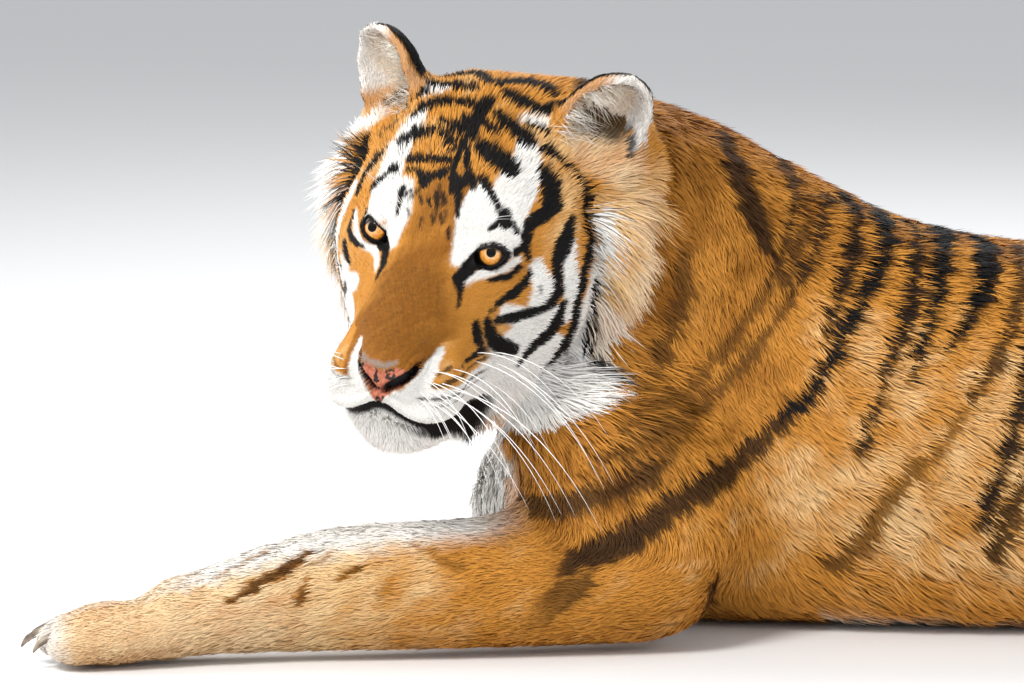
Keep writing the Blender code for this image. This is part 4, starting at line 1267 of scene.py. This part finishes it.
def triangleTable(mesh):
    mesh.calc_loop_triangles()
    count = len(mesh.loop_triangles)
    corners, loops = np.empty(count * 3, np.int32), np.empty(count * 3, np.int32)
    mesh.loop_triangles.foreach_get("vertices", corners)
    mesh.loop_triangles.foreach_get("loops", loops)
    return corners.reshape(-1, 3), loops.reshape(-1, 3)


def lockMiddles(points, size, seed):
    # the nearest of a scatter of points about size apart, for each point
    cells = np.floor(points / size).astype(np.int64)
    best = np.full(len(points), 1e9)
    middles = np.zeros_like(points)
    for dx in (-1, 0, 1):
        for dy in (-1, 0, 1):
            for dz in (-1, 0, 1):
                cell = cells + np.array((dx, dy, dz))
                mixed = (cell[:, 0] * 73856093) ^ (cell[:, 1] * 19349663) ^ (cell[:, 2] * 83492791) ^ seed
                jitter = np.stack([((mixed * prime) % 1009) / 1009 for prime in (7919, 6271, 4507)], axis=1)
                place = (cell + jitter) * size
                gap = ((points - place) ** 2).sum(axis=1)
                near = gap < best
                best[near] = gap[near]
                middles[near] = place[near]
    return middles


def scatterRoots(corners, spacing, keep, seed):
    # a triangle and three shares for each root, as dense as the spacing asks
    source = np.random.default_rng(seed)
    a, b, c = (skinPoints[corners[:, k]] for k in range(3))
    areas = np.linalg.norm(np.cross(b - a, c - a), axis=1) / 2
    wanted = areas / (spacing[corners].mean(axis=1) / 1000) ** 2 * keep
    edges = np.concatenate([[0], np.cumsum(wanted)])
    total = int(edges[-1])
    ticks = np.arange(total) + source.uniform(0, 1, total)
    chosen = np.clip(np.searchsorted(edges, ticks) - 1, 0, len(corners) - 1)
    u, v = source.uniform(0, 1, (2, total))
    over = u + v > 1
    u[over], v[over] = 1 - u[over], 1 - v[over]
    return chosen, np.stack([1 - u - v, u, v], axis=1)


def mixed(values, corners, chosen, shares):
    # values at the corners of the chosen triangles, mixed in the given shares
    return sum(values[corners[chosen, k]] * shares[:, k, None] for k in range(3))


def shapeTufts(roots, outwards, way, look, source):
    # each tuft's root, drawn in a little, its five corners, and the directions that shade them
    count = len(roots)
    length, width = look[:, 1] / 1000, look[:, 2] / 1000
    # the lay wanders a little over the body, and each tuft strays from it
    across = np.cross(outwards, way)
    wide, narrow = coatPlan["wander"]
    wander = wide * ripple(roots, 0.045, 31) + narrow * ripple(roots, 0.016, 32)
    wander = wander * (0.35 + look[:, 6]) + source.normal(0, coatPlan["stray"], count)
    way = way * np.cos(wander)[:, None] + across * np.sin(wander)[:, None]
    across = np.cross(outwards, way)
    length = length * source.uniform(*coatPlan["lengths"], count) * (1 + 0.12 * ripple(roots, 0.030, 33))
    tousle = ripple(roots, 0.022, 34)
    liftRoot = np.radians(look[:, 4] + source.normal(0, 5, count) + 5 * tousle * look[:, 6])
    liftTip = np.radians(look[:, 5] + source.normal(0, 6, count) + 7 * tousle * look[:, 6])
    first = way * np.cos(liftRoot)[:, None] + outwards * np.sin(liftRoot)[:, None]
    second = way * np.cos(liftTip)[:, None] + outwards * np.sin(liftTip)[:, None]
    roots = roots - outwards * np.minimum(0.0006, 0.06 * length)[:, None]
    elbow = roots + first * (coatPlan["bend"] * length)[:, None]
    tips = elbow + second * ((1 - coatPlan["bend"]) * length)[:, None]
    # tips gather in locks
    pull = np.clip(look[:, 6] * 0.75, 0, 0.85)
    for size, force in ((coatPlan["lockSize"], 0.8), (coatPlan["lockSize"] * 0.45, 0.4)):
        middle = lockMiddles(roots, size, 5)
        toward = middle + way * length[:, None] * 0.9 - tips
        toward -= (toward * outwards).sum(axis=1, keepdims=True) * outwards
        reach = np.linalg.norm(toward, axis=1, keepdims=True)
        toward *= np.minimum(1, 0.35 * length[:, None] / np.maximum(reach, 1e-6))
        tips += toward * (pull * force)[:, None]
        elbow += toward * (0.35 * pull * force)[:, None]
    roll = source.normal(0, coatPlan["roll"], count)
    side = across * np.cos(roll)[:, None] + outwards * np.sin(roll)[:, None]
    side *= np.sign((np.cross(side, second) * outwards).sum(axis=1, keepdims=True))
    half = side * (width / 2)[:, None]
    blades = np.stack([roots - 0.75 * half, roots + 0.75 * half, elbow - half, elbow + half, tips], axis=1)
    blades[:, :, 2] = np.maximum(blades[:, :, 2], coatPlan["clearFloor"])
    # shading leans each blade to the skin's own rounding
    facing = unit(unit(np.cross(side, second)) + coatPlan["rounding"] * outwards)
    slant = unit(half) * 0.30
    bend = np.stack([facing - slant, facing + slant, facing - slant, facing + slant, facing], axis=1)
    return roots, blades, unit(bend)


def growCoat():
    source = np.random.default_rng(7)
    corners, loops = triangleTable(skin.data)
    middles = skinPoints[corners].mean(axis=1)
    keep = coatKeep(middles)
    chosen, share = scatterRoots(corners, coat[:, 3], keep, 11)
    report(f"{len(chosen)} roots")
    roots = mixed(skinPoints, corners, chosen, share)
    outwards = unit(mixed(normals, corners, chosen, share))
    way = flatten(mixed(lay, corners, chosen, share), outwards)
    look = mixed(coat, corners, chosen, share)
    uv = sum(skinUv[loops[chosen, k]] * share[:, k, None] for k in range(3))
    owner = np.array(names)[corners[chosen, 0]]
    roots, blades, bend = shapeTufts(roots, outwards, way, look, source)
    shade = source.uniform(0, 1, len(chosen))
    stripe, pale, warm = markings(roots, owner, outwards)
    report("markings of the coat")
    patch = coatPlan["patch"] / 2
    square = np.array(((-1, -1), (1, -1), (-1, 0.2), (1, 0.2), (0, 1))) * patch * 0.9
    patches = uv[:, None] + square
    piece = coatPiece(roots, owner)
    coats = []
    for name in sorted(set(piece)):
        picked = np.nonzero(piece == name)[0]
        parts = math.ceil(len(picked) * 3 / coatPlan["mostTriangles"])
        for k in range(parts):
            here = picked[k * len(picked) // parts:(k + 1) * len(picked) // parts]
            title = name if parts == 1 else f"{name}_{k + 1}"
            coats.append(makeCoatPiece(title, blades[here], bend[here], patches[here],
                                       stripe[here], pale[here], warm[here], shade[here]))
    return coats


def makeCoatPiece(name, blades, bend, patches, stripe, pale, warm, shade):
    count = len(blades)
    starts = np.arange(count)[:, None] * 5
    pattern = np.array((0, 1, 3, 0, 3, 2, 2, 3, 4))
    faces = (starts + pattern).reshape(-1, 3)
    obj = newMeshObject(name, blades.reshape(-1, 3), faces)
    mesh = obj.data
    for title, values in (("stripe", stripe), ("pale", pale), ("warm", warm), ("shade", shade)):
        setAttribute(mesh, title, np.repeat(values, 5))
    setAttribute(mesh, "tip", np.tile((0.0, 0.0, 0.5, 0.5, 1.0), count))
    setAttribute(mesh, "edge", np.tile((-1.0, 1.0, -1.0, 1.0, 0.0), count))
    layer = mesh.uv_layers.new(name="OFBake")
    layer.data.foreach_set("uv", patches[:, pattern].astype(np.float32).ravel())
    mesh.normals_split_custom_set_from_vertices(bend.reshape(-1, 3).astype(np.float32))
    return obj


def coatKeep(middles):
    # no tufts on the bare nose, in the eyes and the mouth
    head = toHead(middles)
    fore, _, high = head.T
    bare = nosePad(head)
    for side in (1, -1):
        bare = np.maximum(bare, eyeRim(head, side)[0] > -0.0016)
    mouth = (np.abs(lipGap(head)) < 0.0022) & (fore > 0.010)
    bare = np.maximum(bare, mouth & (high > -0.17))
    return 1 - np.clip(bare, 0, 1)


def coatPiece(roots, owner):
    piece = np.array(["coat_" + pieceOf[name] for name in owner], dtype=object)
    head = toHead(roots)
    onHead = np.isin(owner, headNodes)
    front = head[:, 0] > -0.075
    piece[onHead & front] = "coat_face"
    piece[onHead & ~front & (head[:, 2] < 0.04)] = "coat_ruff"
    return piece


coats = growCoat()
report(f"coat grown, {sum(len(obj.data.polygons) for obj in coats)} triangles")

# Materials


class Shade:
    # a socket, on which Python's arithmetic adds Math nodes

    def __init__(self, paint, socket):
        self.paint, self.socket = paint, socket

    def maths(self, operation, *others):
        values = [self, *others]
        return self.paint.node("ShaderNodeMath", {"operation": operation}, dict(enumerate(values)))

    def __add__(self, other):
        return self.maths("ADD", other)

    __radd__ = __add__

    def __mul__(self, other):
        return self.maths("MULTIPLY", other)

    __rmul__ = __mul__

    def __sub__(self, other):
        return self.maths("SUBTRACT", other)

    def __rsub__(self, other):
        return (self * -1) + other

    def fit(self, low, high):
        options = {"interpolation_type": "SMOOTHSTEP"}
        return self.paint.node("ShaderNodeMapRange", options, {0: self, 1: low, 2: high})


class Paint:
    # one material and its nodes

    def __init__(self, name, **constants):
        self.material = bpy.data.materials.new(name)
        self.material.use_nodes = True
        self.tree = self.material.node_tree
        self.shader = self.tree.nodes["Principled BSDF"]
        for title, value in constants.items():
            self.set(title.replace("_", " "), value)

    def node(self, kind, options, values, output=0):
        node = self.tree.nodes.new(kind)
        for title, value in options.items():
            setattr(node, title, value)
        for key, value in values.items():
            self.feed(node.inputs[key], value)
        return Shade(self, node.outputs[output])

    def feed(self, socket, value):
        if isinstance(value, Shade):
            self.tree.links.new(value.socket, socket)
        else:
            socket.default_value = value

    def set(self, title, value):
        self.feed(self.shader.inputs[title], value)

    def attribute(self, name):
        return self.node("ShaderNodeAttribute", {"attribute_name": name}, {}, "Fac")

    def place(self):
        return self.node("ShaderNodeTexCoord", {}, {}, "Object")

    def noise(self, scale, detail=2.0, roughness=0.5, vector=None, distortion=0.0):
        values = {"Scale": scale, "Detail": detail, "Roughness": roughness, "Distortion": distortion,
                  "Vector": vector or self.place()}
        return self.node("ShaderNodeTexNoise", {}, values, "Fac")

    def blend(self, share, first, second, kind="MIX"):
        # colours by a Mix node, whose colour sockets are its last two
        options = {"data_type": "RGBA", "blend_type": kind, "clamp_factor": True}
        return self.node("ShaderNodeMix", options, {0: share, 6: first, 7: second}, 2)

    def darken(self, colour, light):
        grey = self.node("ShaderNodeCombineColor", {}, {0: light, 1: light, 2: light})
        return self.blend(1.0, colour, grey, "MULTIPLY")

    def bump(self, height, strength, distance):
        values = {"Strength": strength, "Distance": distance, "Height": height}
        self.set("Normal", self.node("ShaderNodeBump", {}, values, "Normal"))


coatColours = {
    "deep": (0.320, 0.118, 0.013, 1),  # rust of the back
    "orange": (0.615, 0.262, 0.040, 1),
    "cream": (0.860, 0.590, 0.290, 1),
    "white": (0.900, 0.875, 0.830, 1),
    "black": (0.0065, 0.0055, 0.005, 1),
}


def coatColour(paint, stripe, pale, warm):
    col = coatColours
    low = paint.blend(warm.fit(0.0, 0.5), col["cream"], col["orange"])
    high = paint.blend(warm.fit(0.5, 1.0), low, col["deep"])
    lit = paint.blend(pale, high, col["white"])
    return paint.blend(stripe, lit, col["black"])


def coatMaterial():
    paint = Paint("coat", Roughness=0.62, Specular_IOR_Level=0.13)
    stripe, pale, warm = (paint.attribute(name) for name in ("stripe", "pale", "warm"))
    shade, tip, edge = (paint.attribute(name) for name in ("shade", "tip", "edge"))
    colour = coatColour(paint, stripe, pale, warm)
    # painted shade across each blade: darker at its edges, as if it were round
    rounding = 1 - edge * edge * 0.22
    # painted shade along each tuft, darker towards its root, times a random tone per tuft
    light = (0.79 + 0.25 * tip) * (0.90 + 0.20 * shade) * rounding
    paint.set("Base Color", paint.darken(colour, light))
    return paint.material


def skinMaterial():
    paint = Paint("short coat", Roughness=0.7, Specular_IOR_Level=0.15)
    stripe, pale, warm = (paint.attribute(name) for name in ("stripe", "pale", "warm"))
    nose, dark = paint.attribute("nose"), paint.attribute("dark")
    colour = coatColour(paint, stripe, pale, warm)
    fleck = paint.noise(900, 3).fit(0.35, 0.75)
    colour = paint.darken(colour, 0.92 - 0.30 * fleck)
    pink = paint.blend(paint.noise(260, 3).fit(0.42, 0.62), (0.45, 0.150, 0.088, 1), (0.34, 0.098, 0.056, 1))
    spots = paint.noise(150, 2).fit(0.56, 0.60)
    pink = paint.blend(spots, pink, (0.03, 0.02, 0.02, 1))
    colour = paint.blend(nose, colour, pink)
    # near-black where dark is set: the lids' own black rims, and painted shade in the nostrils and the
    # mouth's crease
    colour = paint.blend(dark, colour, (0.006, 0.005, 0.005, 1))
    paint.set("Base Color", colour)
    paint.set("Roughness", 0.7 - 0.24 * nose - 0.10 * dark)
    paint.bump(paint.noise(700, 4) + 0.6 * paint.noise(1500, 2) * nose, 0.35, 0.001)
    return paint.material


coatFinish = coatMaterial()
for obj in coats:
    obj.data.materials.append(coatFinish)
skin.data.materials.append(skinMaterial())


def markSkin():
    stripe, pale, warm = markings(skinPoints, np.array(names), normals)
    head = toHead(skinPoints)
    nose = nosePad(head)
    # painted shade: the nostrils near-black in their hollows
    dark = nostril(head)
    # the mouth's line and the groove above it: partly the lips' own black, partly painted shade in the crease
    dark = np.maximum(dark, ramp(mouthGroove(head), 0.25, 0.6))
    for side in (1, -1):
        dark = np.maximum(dark, ramp(eyeRim(head, side)[0], -0.0032, -0.0022))
    looks = {"stripe": stripe, "pale": pale, "warm": warm, "nose": nose, "dark": dark}
    for title, values in looks.items():
        setAttribute(skin.data, title, values)


markSkin()

# The eyes

eyeLook = {
    "iris": 0.0111,  # radius of the coloured ring
    "pupil": 0.0046,
    "gaze": (3.0, 16.0),  # degrees outwards, and up from the head's own forwards
    "shift": (0.0014, 0.0018),  # the pupil seen through the clear front: outwards, up
    "proud": 0.0013,  # how far the clear front stands out
    "lidShade": 0.97,
}


def makeEye(name, side):
    bpy.ops.mesh.primitive_uv_sphere_add(segments=96, ring_count=64, radius=eyePlan["radius"])
    ball = bpy.context.view_layer.objects.active
    ball.name = ball.data.name = name
    out, up = (math.radians(angle) for angle in eyeLook["gaze"])
    gaze = np.array((math.cos(up) * math.cos(out), side * math.cos(up) * math.sin(out), math.sin(up)))
    across = unit(np.cross((0, 0, 1), gaze))
    axes = np.stack([across, np.cross(gaze, across), gaze])
    local = pointsOf(ball.data)
    front = local[:, 2] > 0
    around = np.hypot(local[:, 0], local[:, 1])
    proud = eyeLook["proud"] * ramp(-around, -eyeLook["iris"] * 1.12, -eyeLook["iris"] * 0.55) * front
    shift = np.array((side * eyeLook["shift"][0], eyeLook["shift"][1]))
    fromPupil = np.linalg.norm(local[:, :2] - shift, axis=1)
    looks = {  # the first four in millimetres
        "around": np.where(front, around, 0.05) * 1000,
        "fromPupil": np.where(front, fromPupil, 0.05) * 1000,
        "eyeX": local[:, 0] * 1000,
        "eyeY": local[:, 1] * 1000,
        "lidShade": eyeLook["lidShade"] * ramp(local[:, 1], 0.0010, 0.0056) * front,
        "ring": ramp(around, 0.0086, 0.0112),
    }
    for title, values in looks.items():
        setAttribute(ball.data, title, values)
    local = local + unit(local) * proud[:, None]
    middle = np.array(eyePlan["centres"][side])
    setPoints(ball.data, fromHead(middle + local @ axes))
    makeActive(ball)
    bpy.ops.object.shade_smooth()
    return ball


def eyeMaterial():
    paint = Paint("eye", Roughness=0.05, Specular_IOR_Level=0.22)
    around, fromPupil = paint.attribute("around"), paint.attribute("fromPupil")
    x, y = paint.attribute("eyeX"), paint.attribute("eyeY")
    flatX, flatY = (value.maths("DIVIDE", around + 0.01) for value in (x, y))
    spokes = paint.node("ShaderNodeCombineXYZ", {}, {0: flatX, 1: flatY, 2: around * 0.06})
    fibre = paint.noise(9.0, 3, 0.6, spokes)
    amber = paint.blend(fibre.fit(0.35, 0.65), (0.50, 0.165, 0.016, 1), (0.80, 0.350, 0.055, 1))
    pale = paint.blend(fibre.fit(0.35, 0.65), (0.52, 0.300, 0.130, 1), (0.78, 0.560, 0.330, 1))
    amber = paint.blend(fromPupil.fit(9.0, 4.6) * 0.75, amber, pale)  # paler towards the pupil
    amber = paint.blend(paint.attribute("ring") * 0.92, amber, (0.10, 0.030, 0.006, 1))
    pupil = fromPupil.fit(eyeLook["pupil"] * 1000 + 0.3, eyeLook["pupil"] * 1000 - 0.3)
    colour = paint.blend(pupil, amber, (0.002, 0.002, 0.002, 1))
    rim = around.fit(eyeLook["iris"] * 1000 - 0.5, eyeLook["iris"] * 1000 + 0.4)
    colour = paint.blend(rim, colour, (0.008, 0.006, 0.005, 1))
    colour = paint.blend(paint.attribute("lidShade"), colour, (0.010, 0.006, 0.004, 1))  # the lid's shade
    paint.set("Base Color", colour)
    return paint.material


eyeFinish = eyeMaterial()
eyes = {}
for side, name in ((1, "eyeball_left"), (-1, "eyeball_right")):
    deselectAll()
    eyes[name] = makeEye(name, side)
    eyes[name].data.materials.append(eyeFinish)
report("eyes made")

# Claws, whiskers and brow hairs


def hornMaterial():
    paint = Paint("claw horn", Roughness=0.35, Specular_IOR_Level=0.4)
    streak = paint.noise(60, 3, 0.6).fit(0.35, 0.65)
    paint.set("Base Color", paint.blend(streak, (0.10, 0.075, 0.055, 1), (0.34, 0.27, 0.20, 1)))
    return paint.material


clawPlan = {
    "smooth": 2,
    "back": 0.0055,  # how far the whole claw lies back in the paw
    "into": 0.0110,  # how much further its base runs in
}


def smoothClaw(name):
    # a rounder claw, whose base runs on into the fur of the paw
    plain = bpy.data.objects[name]
    turn = np.array(plain.matrix_world)
    points = pointsOf(plain.data) @ turn[:3, :3].T + turn[:3, 3]
    piece = newMeshObject(name + "_horn", points, [tuple(face.vertices) for face in plain.data.polygons])
    joined = piece.modifiers.new("joined", "WELD")
    joined.merge_threshold = 0.0001
    rounded = piece.modifiers.new("round", "SUBSURF")
    rounded.levels = rounded.render_levels = clawPlan["smooth"]
    makeActive(piece)
    for title in ("joined", "round"):
        bpy.ops.object.modifier_apply(modifier=title)
    points = pointsOf(piece.data)
    middle = points.mean(axis=0)
    spread = points - middle
    along = np.linalg.svd(spread, full_matrices=False)[2][0]
    low, high = (np.array(corner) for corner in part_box(name[:-2].replace("claw", "paw")))
    inwards = unit((low + high) / 2 - middle)
    along = along * np.sign(along @ inwards)
    share = spread @ along
    slide = clawPlan["back"] + clawPlan["into"] * ramp(share, -0.2 * share.max(), share.max())
    setPoints(piece.data, points + slide[:, None] * inwards)
    bpy.ops.object.shade_smooth()
    return piece


hornFinish = hornMaterial()
claws = {}
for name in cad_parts:
    if name.startswith("claw_"):
        claws[name] = smoothClaw(name)
        claws[name].data.materials.append(hornFinish)

# Rows of whiskers, the same on both sides: millimetres out and up on the muzzle, then the length.
whiskerPlan = {
    "rows": (
        ((44, -89, 95), (51, -89, 120), (59, -89, 140), (66, -88, 120)),
        ((40, -97, 95), (48, -99, 140), (57, -99, 180), (66, -98, 190), (74, -96, 150)),
        ((38, -105, 85), (46, -107, 130), (55, -108, 185), (65, -107, 210), (75, -105, 190)),
        ((38, -113, 70), (48, -115, 110), (58, -116, 150), (68, -115, 170), (78, -112, 150)),
        ((50, -122, 60), (60, -123, 90), (70, -122, 110)),
    ),
    "heading": (0.34, 0.92, 0.34),  # forwards, out and up from the head
    "rowLower": 0.15,  # how much lower each row heads than the one above
    "sag": -1.75,
    "swing": (-0.50, 0.10, 0.0),  # how they bow back and out
    "brows": ((34, 24, 60), (38, 28, 75), (42, 25, 55), (46, 30, 66)),
    "thick": 0.00052,
    "browThick": 0.00032,
    "steps": 14,
    "sides": 5,
}


def skinSurface():
    faces = [tuple(polygon.vertices) for polygon in skin.data.polygons]
    return BVHTree.FromPolygons([Vector(place) for place in skinPoints], faces)


def whiskerLine(root, heading, length, sag, swing):
    # a hair that sets out along its heading and bows over
    steps = whiskerPlan["steps"]
    line, place, way = [root.copy()], root.copy(), heading.copy()
    for _ in range(steps):
        way = unit(way + (sag + swing) / steps)
        place = place + way * length / steps
        line.append(place.copy())
    return np.array(line)


def tubeAlong(line, thick):
    # rings of a few points, that taper to the tip
    sides = whiskerPlan["sides"]
    turns = 2 * math.pi * np.arange(sides) / sides
    points = []
    for k, place in enumerate(line):
        ahead = unit(line[min(k + 1, len(line) - 1)] - line[max(k - 1, 0)])
        across = unit(np.cross(ahead, (0.3, 0.2, 1.0)))
        over = np.cross(ahead, across)
        size = thick * (1 - 0.86 * (k / (len(line) - 1)) ** 1.3)
        points += [place + size * (across * math.cos(t) + over * math.sin(t)) for t in turns]
    faces = []
    for k in range(len(line) - 1):
        for j in range(sides):
            a, b = k * sides + j, k * sides + (j + 1) % sides
            faces += [(a, b, b + sides), (a, b + sides, a + sides)]
    last = (len(line) - 1) * sides
    faces += [(last, last + j, last + j + 1) for j in range(1, sides - 1)]
    faces += [(0, j + 1, j) for j in range(1, sides - 1)]
    return points, faces


class Hairs:
    # hairs gathered in one mesh

    def __init__(self, seed):
        self.skin = skinSurface()
        self.source = np.random.default_rng(seed)
        self.points, self.faces = [], []

    def add(self, line, thick):
        points, faces = tubeAlong(line, thick)
        base = len(self.points)
        self.points += points
        self.faces += [[base + k for k in face] for face in faces]

    def bristle(self, start, heading, length, sag, swing, thick):
        # one stiff hair, rooted where a line from the front meets the skin
        hit = self.skin.ray_cast(Vector(fromHead(start)), Vector(headTurn @ np.array((-1.0, 0.0, 0.0))))[0]
        if hit is not None:
            heading = unit(headTurn @ heading)
            self.add(whiskerLine(np.array(hit) - 0.002 * heading, heading, length, sag, swing), thick)

    def finish(self, name):
        return newMeshObject(name, np.array(self.points), np.array(self.faces))


def growWhiskers():
    hairs = Hairs(41)
    source = hairs.source
    for side in (1, -1):
        for k, row in enumerate(whiskerPlan["rows"]):
            for left, up, length in row:
                jitter = source.normal(0, 1, 6)
                start = np.array((0.30, side * (left + jitter[0]) / 1000, (up + jitter[1]) / 1000))
                ahead, out, lift = whiskerPlan["heading"]
                ahead += 0.06 * jitter[3] - 0.010 * (left - 40)
                lift += 0.10 * jitter[2] - whiskerPlan["rowLower"] * k
                heading = np.array((ahead, side * out, lift))
                sag = np.array((0.0, 0.0, whiskerPlan["sag"] - 0.30 * jitter[4]))
                swing = headTurn @ (np.array(whiskerPlan["swing"]) * (1, side, 1))
                thick = whiskerPlan["thick"] * (0.8 + 0.002 * length)
                hairs.bristle(start, heading, length * (1 + 0.06 * jitter[5]) / 1000, sag, swing, thick)
        for left, up, length in whiskerPlan["brows"]:
            jitter = source.normal(0, 1, 3)
            start = np.array((0.30, side * left / 1000, up / 1000))
            heading = np.array((0.55, side * (0.42 + 0.12 * jitter[0]), 0.85 + 0.12 * jitter[1]))
            swing = headTurn @ np.array((-0.5, side * 0.35, -0.5))
            hairs.bristle(start, heading, length / 1000, np.zeros(3), swing, whiskerPlan["browThick"])
    return hairs.finish("whiskers")


earHairs = {
    "count": 190,
    "length": (0.016, 0.046),
    "thick": 0.00024,
    "rise": (-0.046, 0.030),  # where they stand on the ear: up
    "inward": (0.018, 0.040),  # towards the head's middle
    "ahead": (0.0, 0.020),
    "reach": 0.03,  # none further than this from the skin
}


def growEarHairs():
    # long pale hairs from each ear's front edge and base, over its opening
    hairs = Hairs(43)
    source = hairs.source
    for side in (1, -1):
        axes = earPlace(skinPoints[:1], side)[1]
        middle = fromHead(toHead(skinPoints[:1]) - earPlace(skinPoints[:1], side)[0] @ axes)[0]
        for _ in range(earHairs["count"]):
            rise = source.uniform(*earHairs["rise"])
            inward = source.uniform(*earHairs["inward"]) - 0.25 * max(rise, 0)
            start = middle + headTurn @ (np.array((source.uniform(*earHairs["ahead"]), inward, rise)) @ axes)
            hit = hairs.skin.find_nearest(Vector(start))
            if hit[0] is None or hit[3] > earHairs["reach"]:
                continue
            way = np.array((0.50 + source.normal(0, 0.22), -0.85, 0.30 + source.normal(0, 0.42) - 8 * rise))
            heading = headTurn @ (unit(way) @ axes)
            bow = headTurn @ (np.array((-0.5, -0.1, -0.7)) @ axes) * source.uniform(0.5, 1.4)
            root = np.array(hit[0]) - 0.001 * heading
            line = whiskerLine(root, heading, source.uniform(*earHairs["length"]), bow, 0.0)
            hairs.add(line[::2], earHairs["thick"] * source.uniform(0.7, 1.3))
    return hairs.finish("ear_hairs")


def hairMaterial(name, dark, light):
    paint = Paint(name, Roughness=0.4, Specular_IOR_Level=0.4)
    paint.set("Base Color", paint.blend(paint.noise(60, 2).fit(0.35, 0.65), dark, light))
    return paint.material


whiskers, longHairs = growWhiskers(), growEarHairs()
whiskers.data.materials.append(hairMaterial("whiskers", (0.86, 0.85, 0.82, 1), (0.94, 0.93, 0.91, 1)))
longHairs.data.materials.append(hairMaterial("ear hairs", (0.36, 0.32, 0.26, 1), (0.80, 0.76, 0.68, 1)))
report("whiskers and claws")

# Floor, light and camera

stagePlan = {
    "target": (-0.456, -0.070, 0.307),
    "elevation": 8.0,
    "distance": 6.0,
    "lens": 206.7,
    "world": 0.62,
    "aim": (-0.2, 0.0, 0.3),
    "lights": {  # place, size, power and colour
        "key light": ((-2.2, -2.6, 3.4), 1.6, 170, (1.0, 0.985, 0.96)),
        "fill light": ((2.6, -3.0, 1.8), 2.5, 50, (0.95, 0.97, 1.0)),
        "back light": ((0.8, 2.8, 3.0), 2.0, 70, (1.0, 1.0, 1.0)),
        "side light": ((-3.2, 0.6, 1.6), 2.2, 45, (0.97, 0.985, 1.0)),
    },
}


def makeCamera():
    data = bpy.data.cameras.new("camera")
    data.sensor_width = 36
    data.lens = stagePlan["lens"]
    camera = bpy.data.objects.new("camera", data)
    bpy.context.scene.collection.objects.link(camera)
    rise = math.radians(stagePlan["elevation"])
    back = Vector((0, -math.cos(rise), math.sin(rise)))
    camera.location = Vector(stagePlan["target"]) + back * stagePlan["distance"]
    camera.rotation_euler = (-back).to_track_quat("-Z", "Y").to_euler()
    bpy.context.scene.camera = camera


def makeLight(name, place, size, power, colour):
    data = bpy.data.lights.new(name, "AREA")
    data.shape = "DISK"
    data.size = size
    data.energy = power
    data.color = colour
    light = bpy.data.objects.new(name, data)
    bpy.context.scene.collection.objects.link(light)
    light.location = place
    light.rotation_euler = (Vector(stagePlan["aim"]) - Vector(place)).to_track_quat("-Z", "Y").to_euler()


def makeStage():
    deselectAll()
    bpy.ops.mesh.primitive_grid_add(x_subdivisions=2, y_subdivisions=2, size=30)
    floor = bpy.context.view_layer.objects.active
    floor.name = floor.data.name = "floor"
    paint = Paint("pale floor", Roughness=0.8)
    paint.set("Base Color", (0.80, 0.80, 0.80, 1))
    floor.data.materials.append(paint.material)
    world = bpy.data.worlds.new("soft light")
    bpy.context.scene.world = world
    world.use_nodes = True
    background = world.node_tree.nodes["Background"]
    background.inputs["Color"].default_value = (0.95, 0.97, 1.0, 1)
    background.inputs["Strength"].default_value = stagePlan["world"]
    for name, row in stagePlan["lights"].items():
        makeLight(name, *row)
    bpy.context.scene.view_settings.view_transform = "Standard"


makeStage()
makeCamera()
report("stage set")

for obj in coats:
    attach(obj, "root")
for obj in (whiskers, longHairs):
    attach(obj, "root")
for name, claw in claws.items():
    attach(claw, "root")
    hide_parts(name)
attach(skin, "root")
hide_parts(*fleshNodes)
for side in ("left", "right"):
    ball = eyes[f"eyeball_{side}"]
    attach(ball, "root")
    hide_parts(f"eye_{side}")
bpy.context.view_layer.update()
report("done")
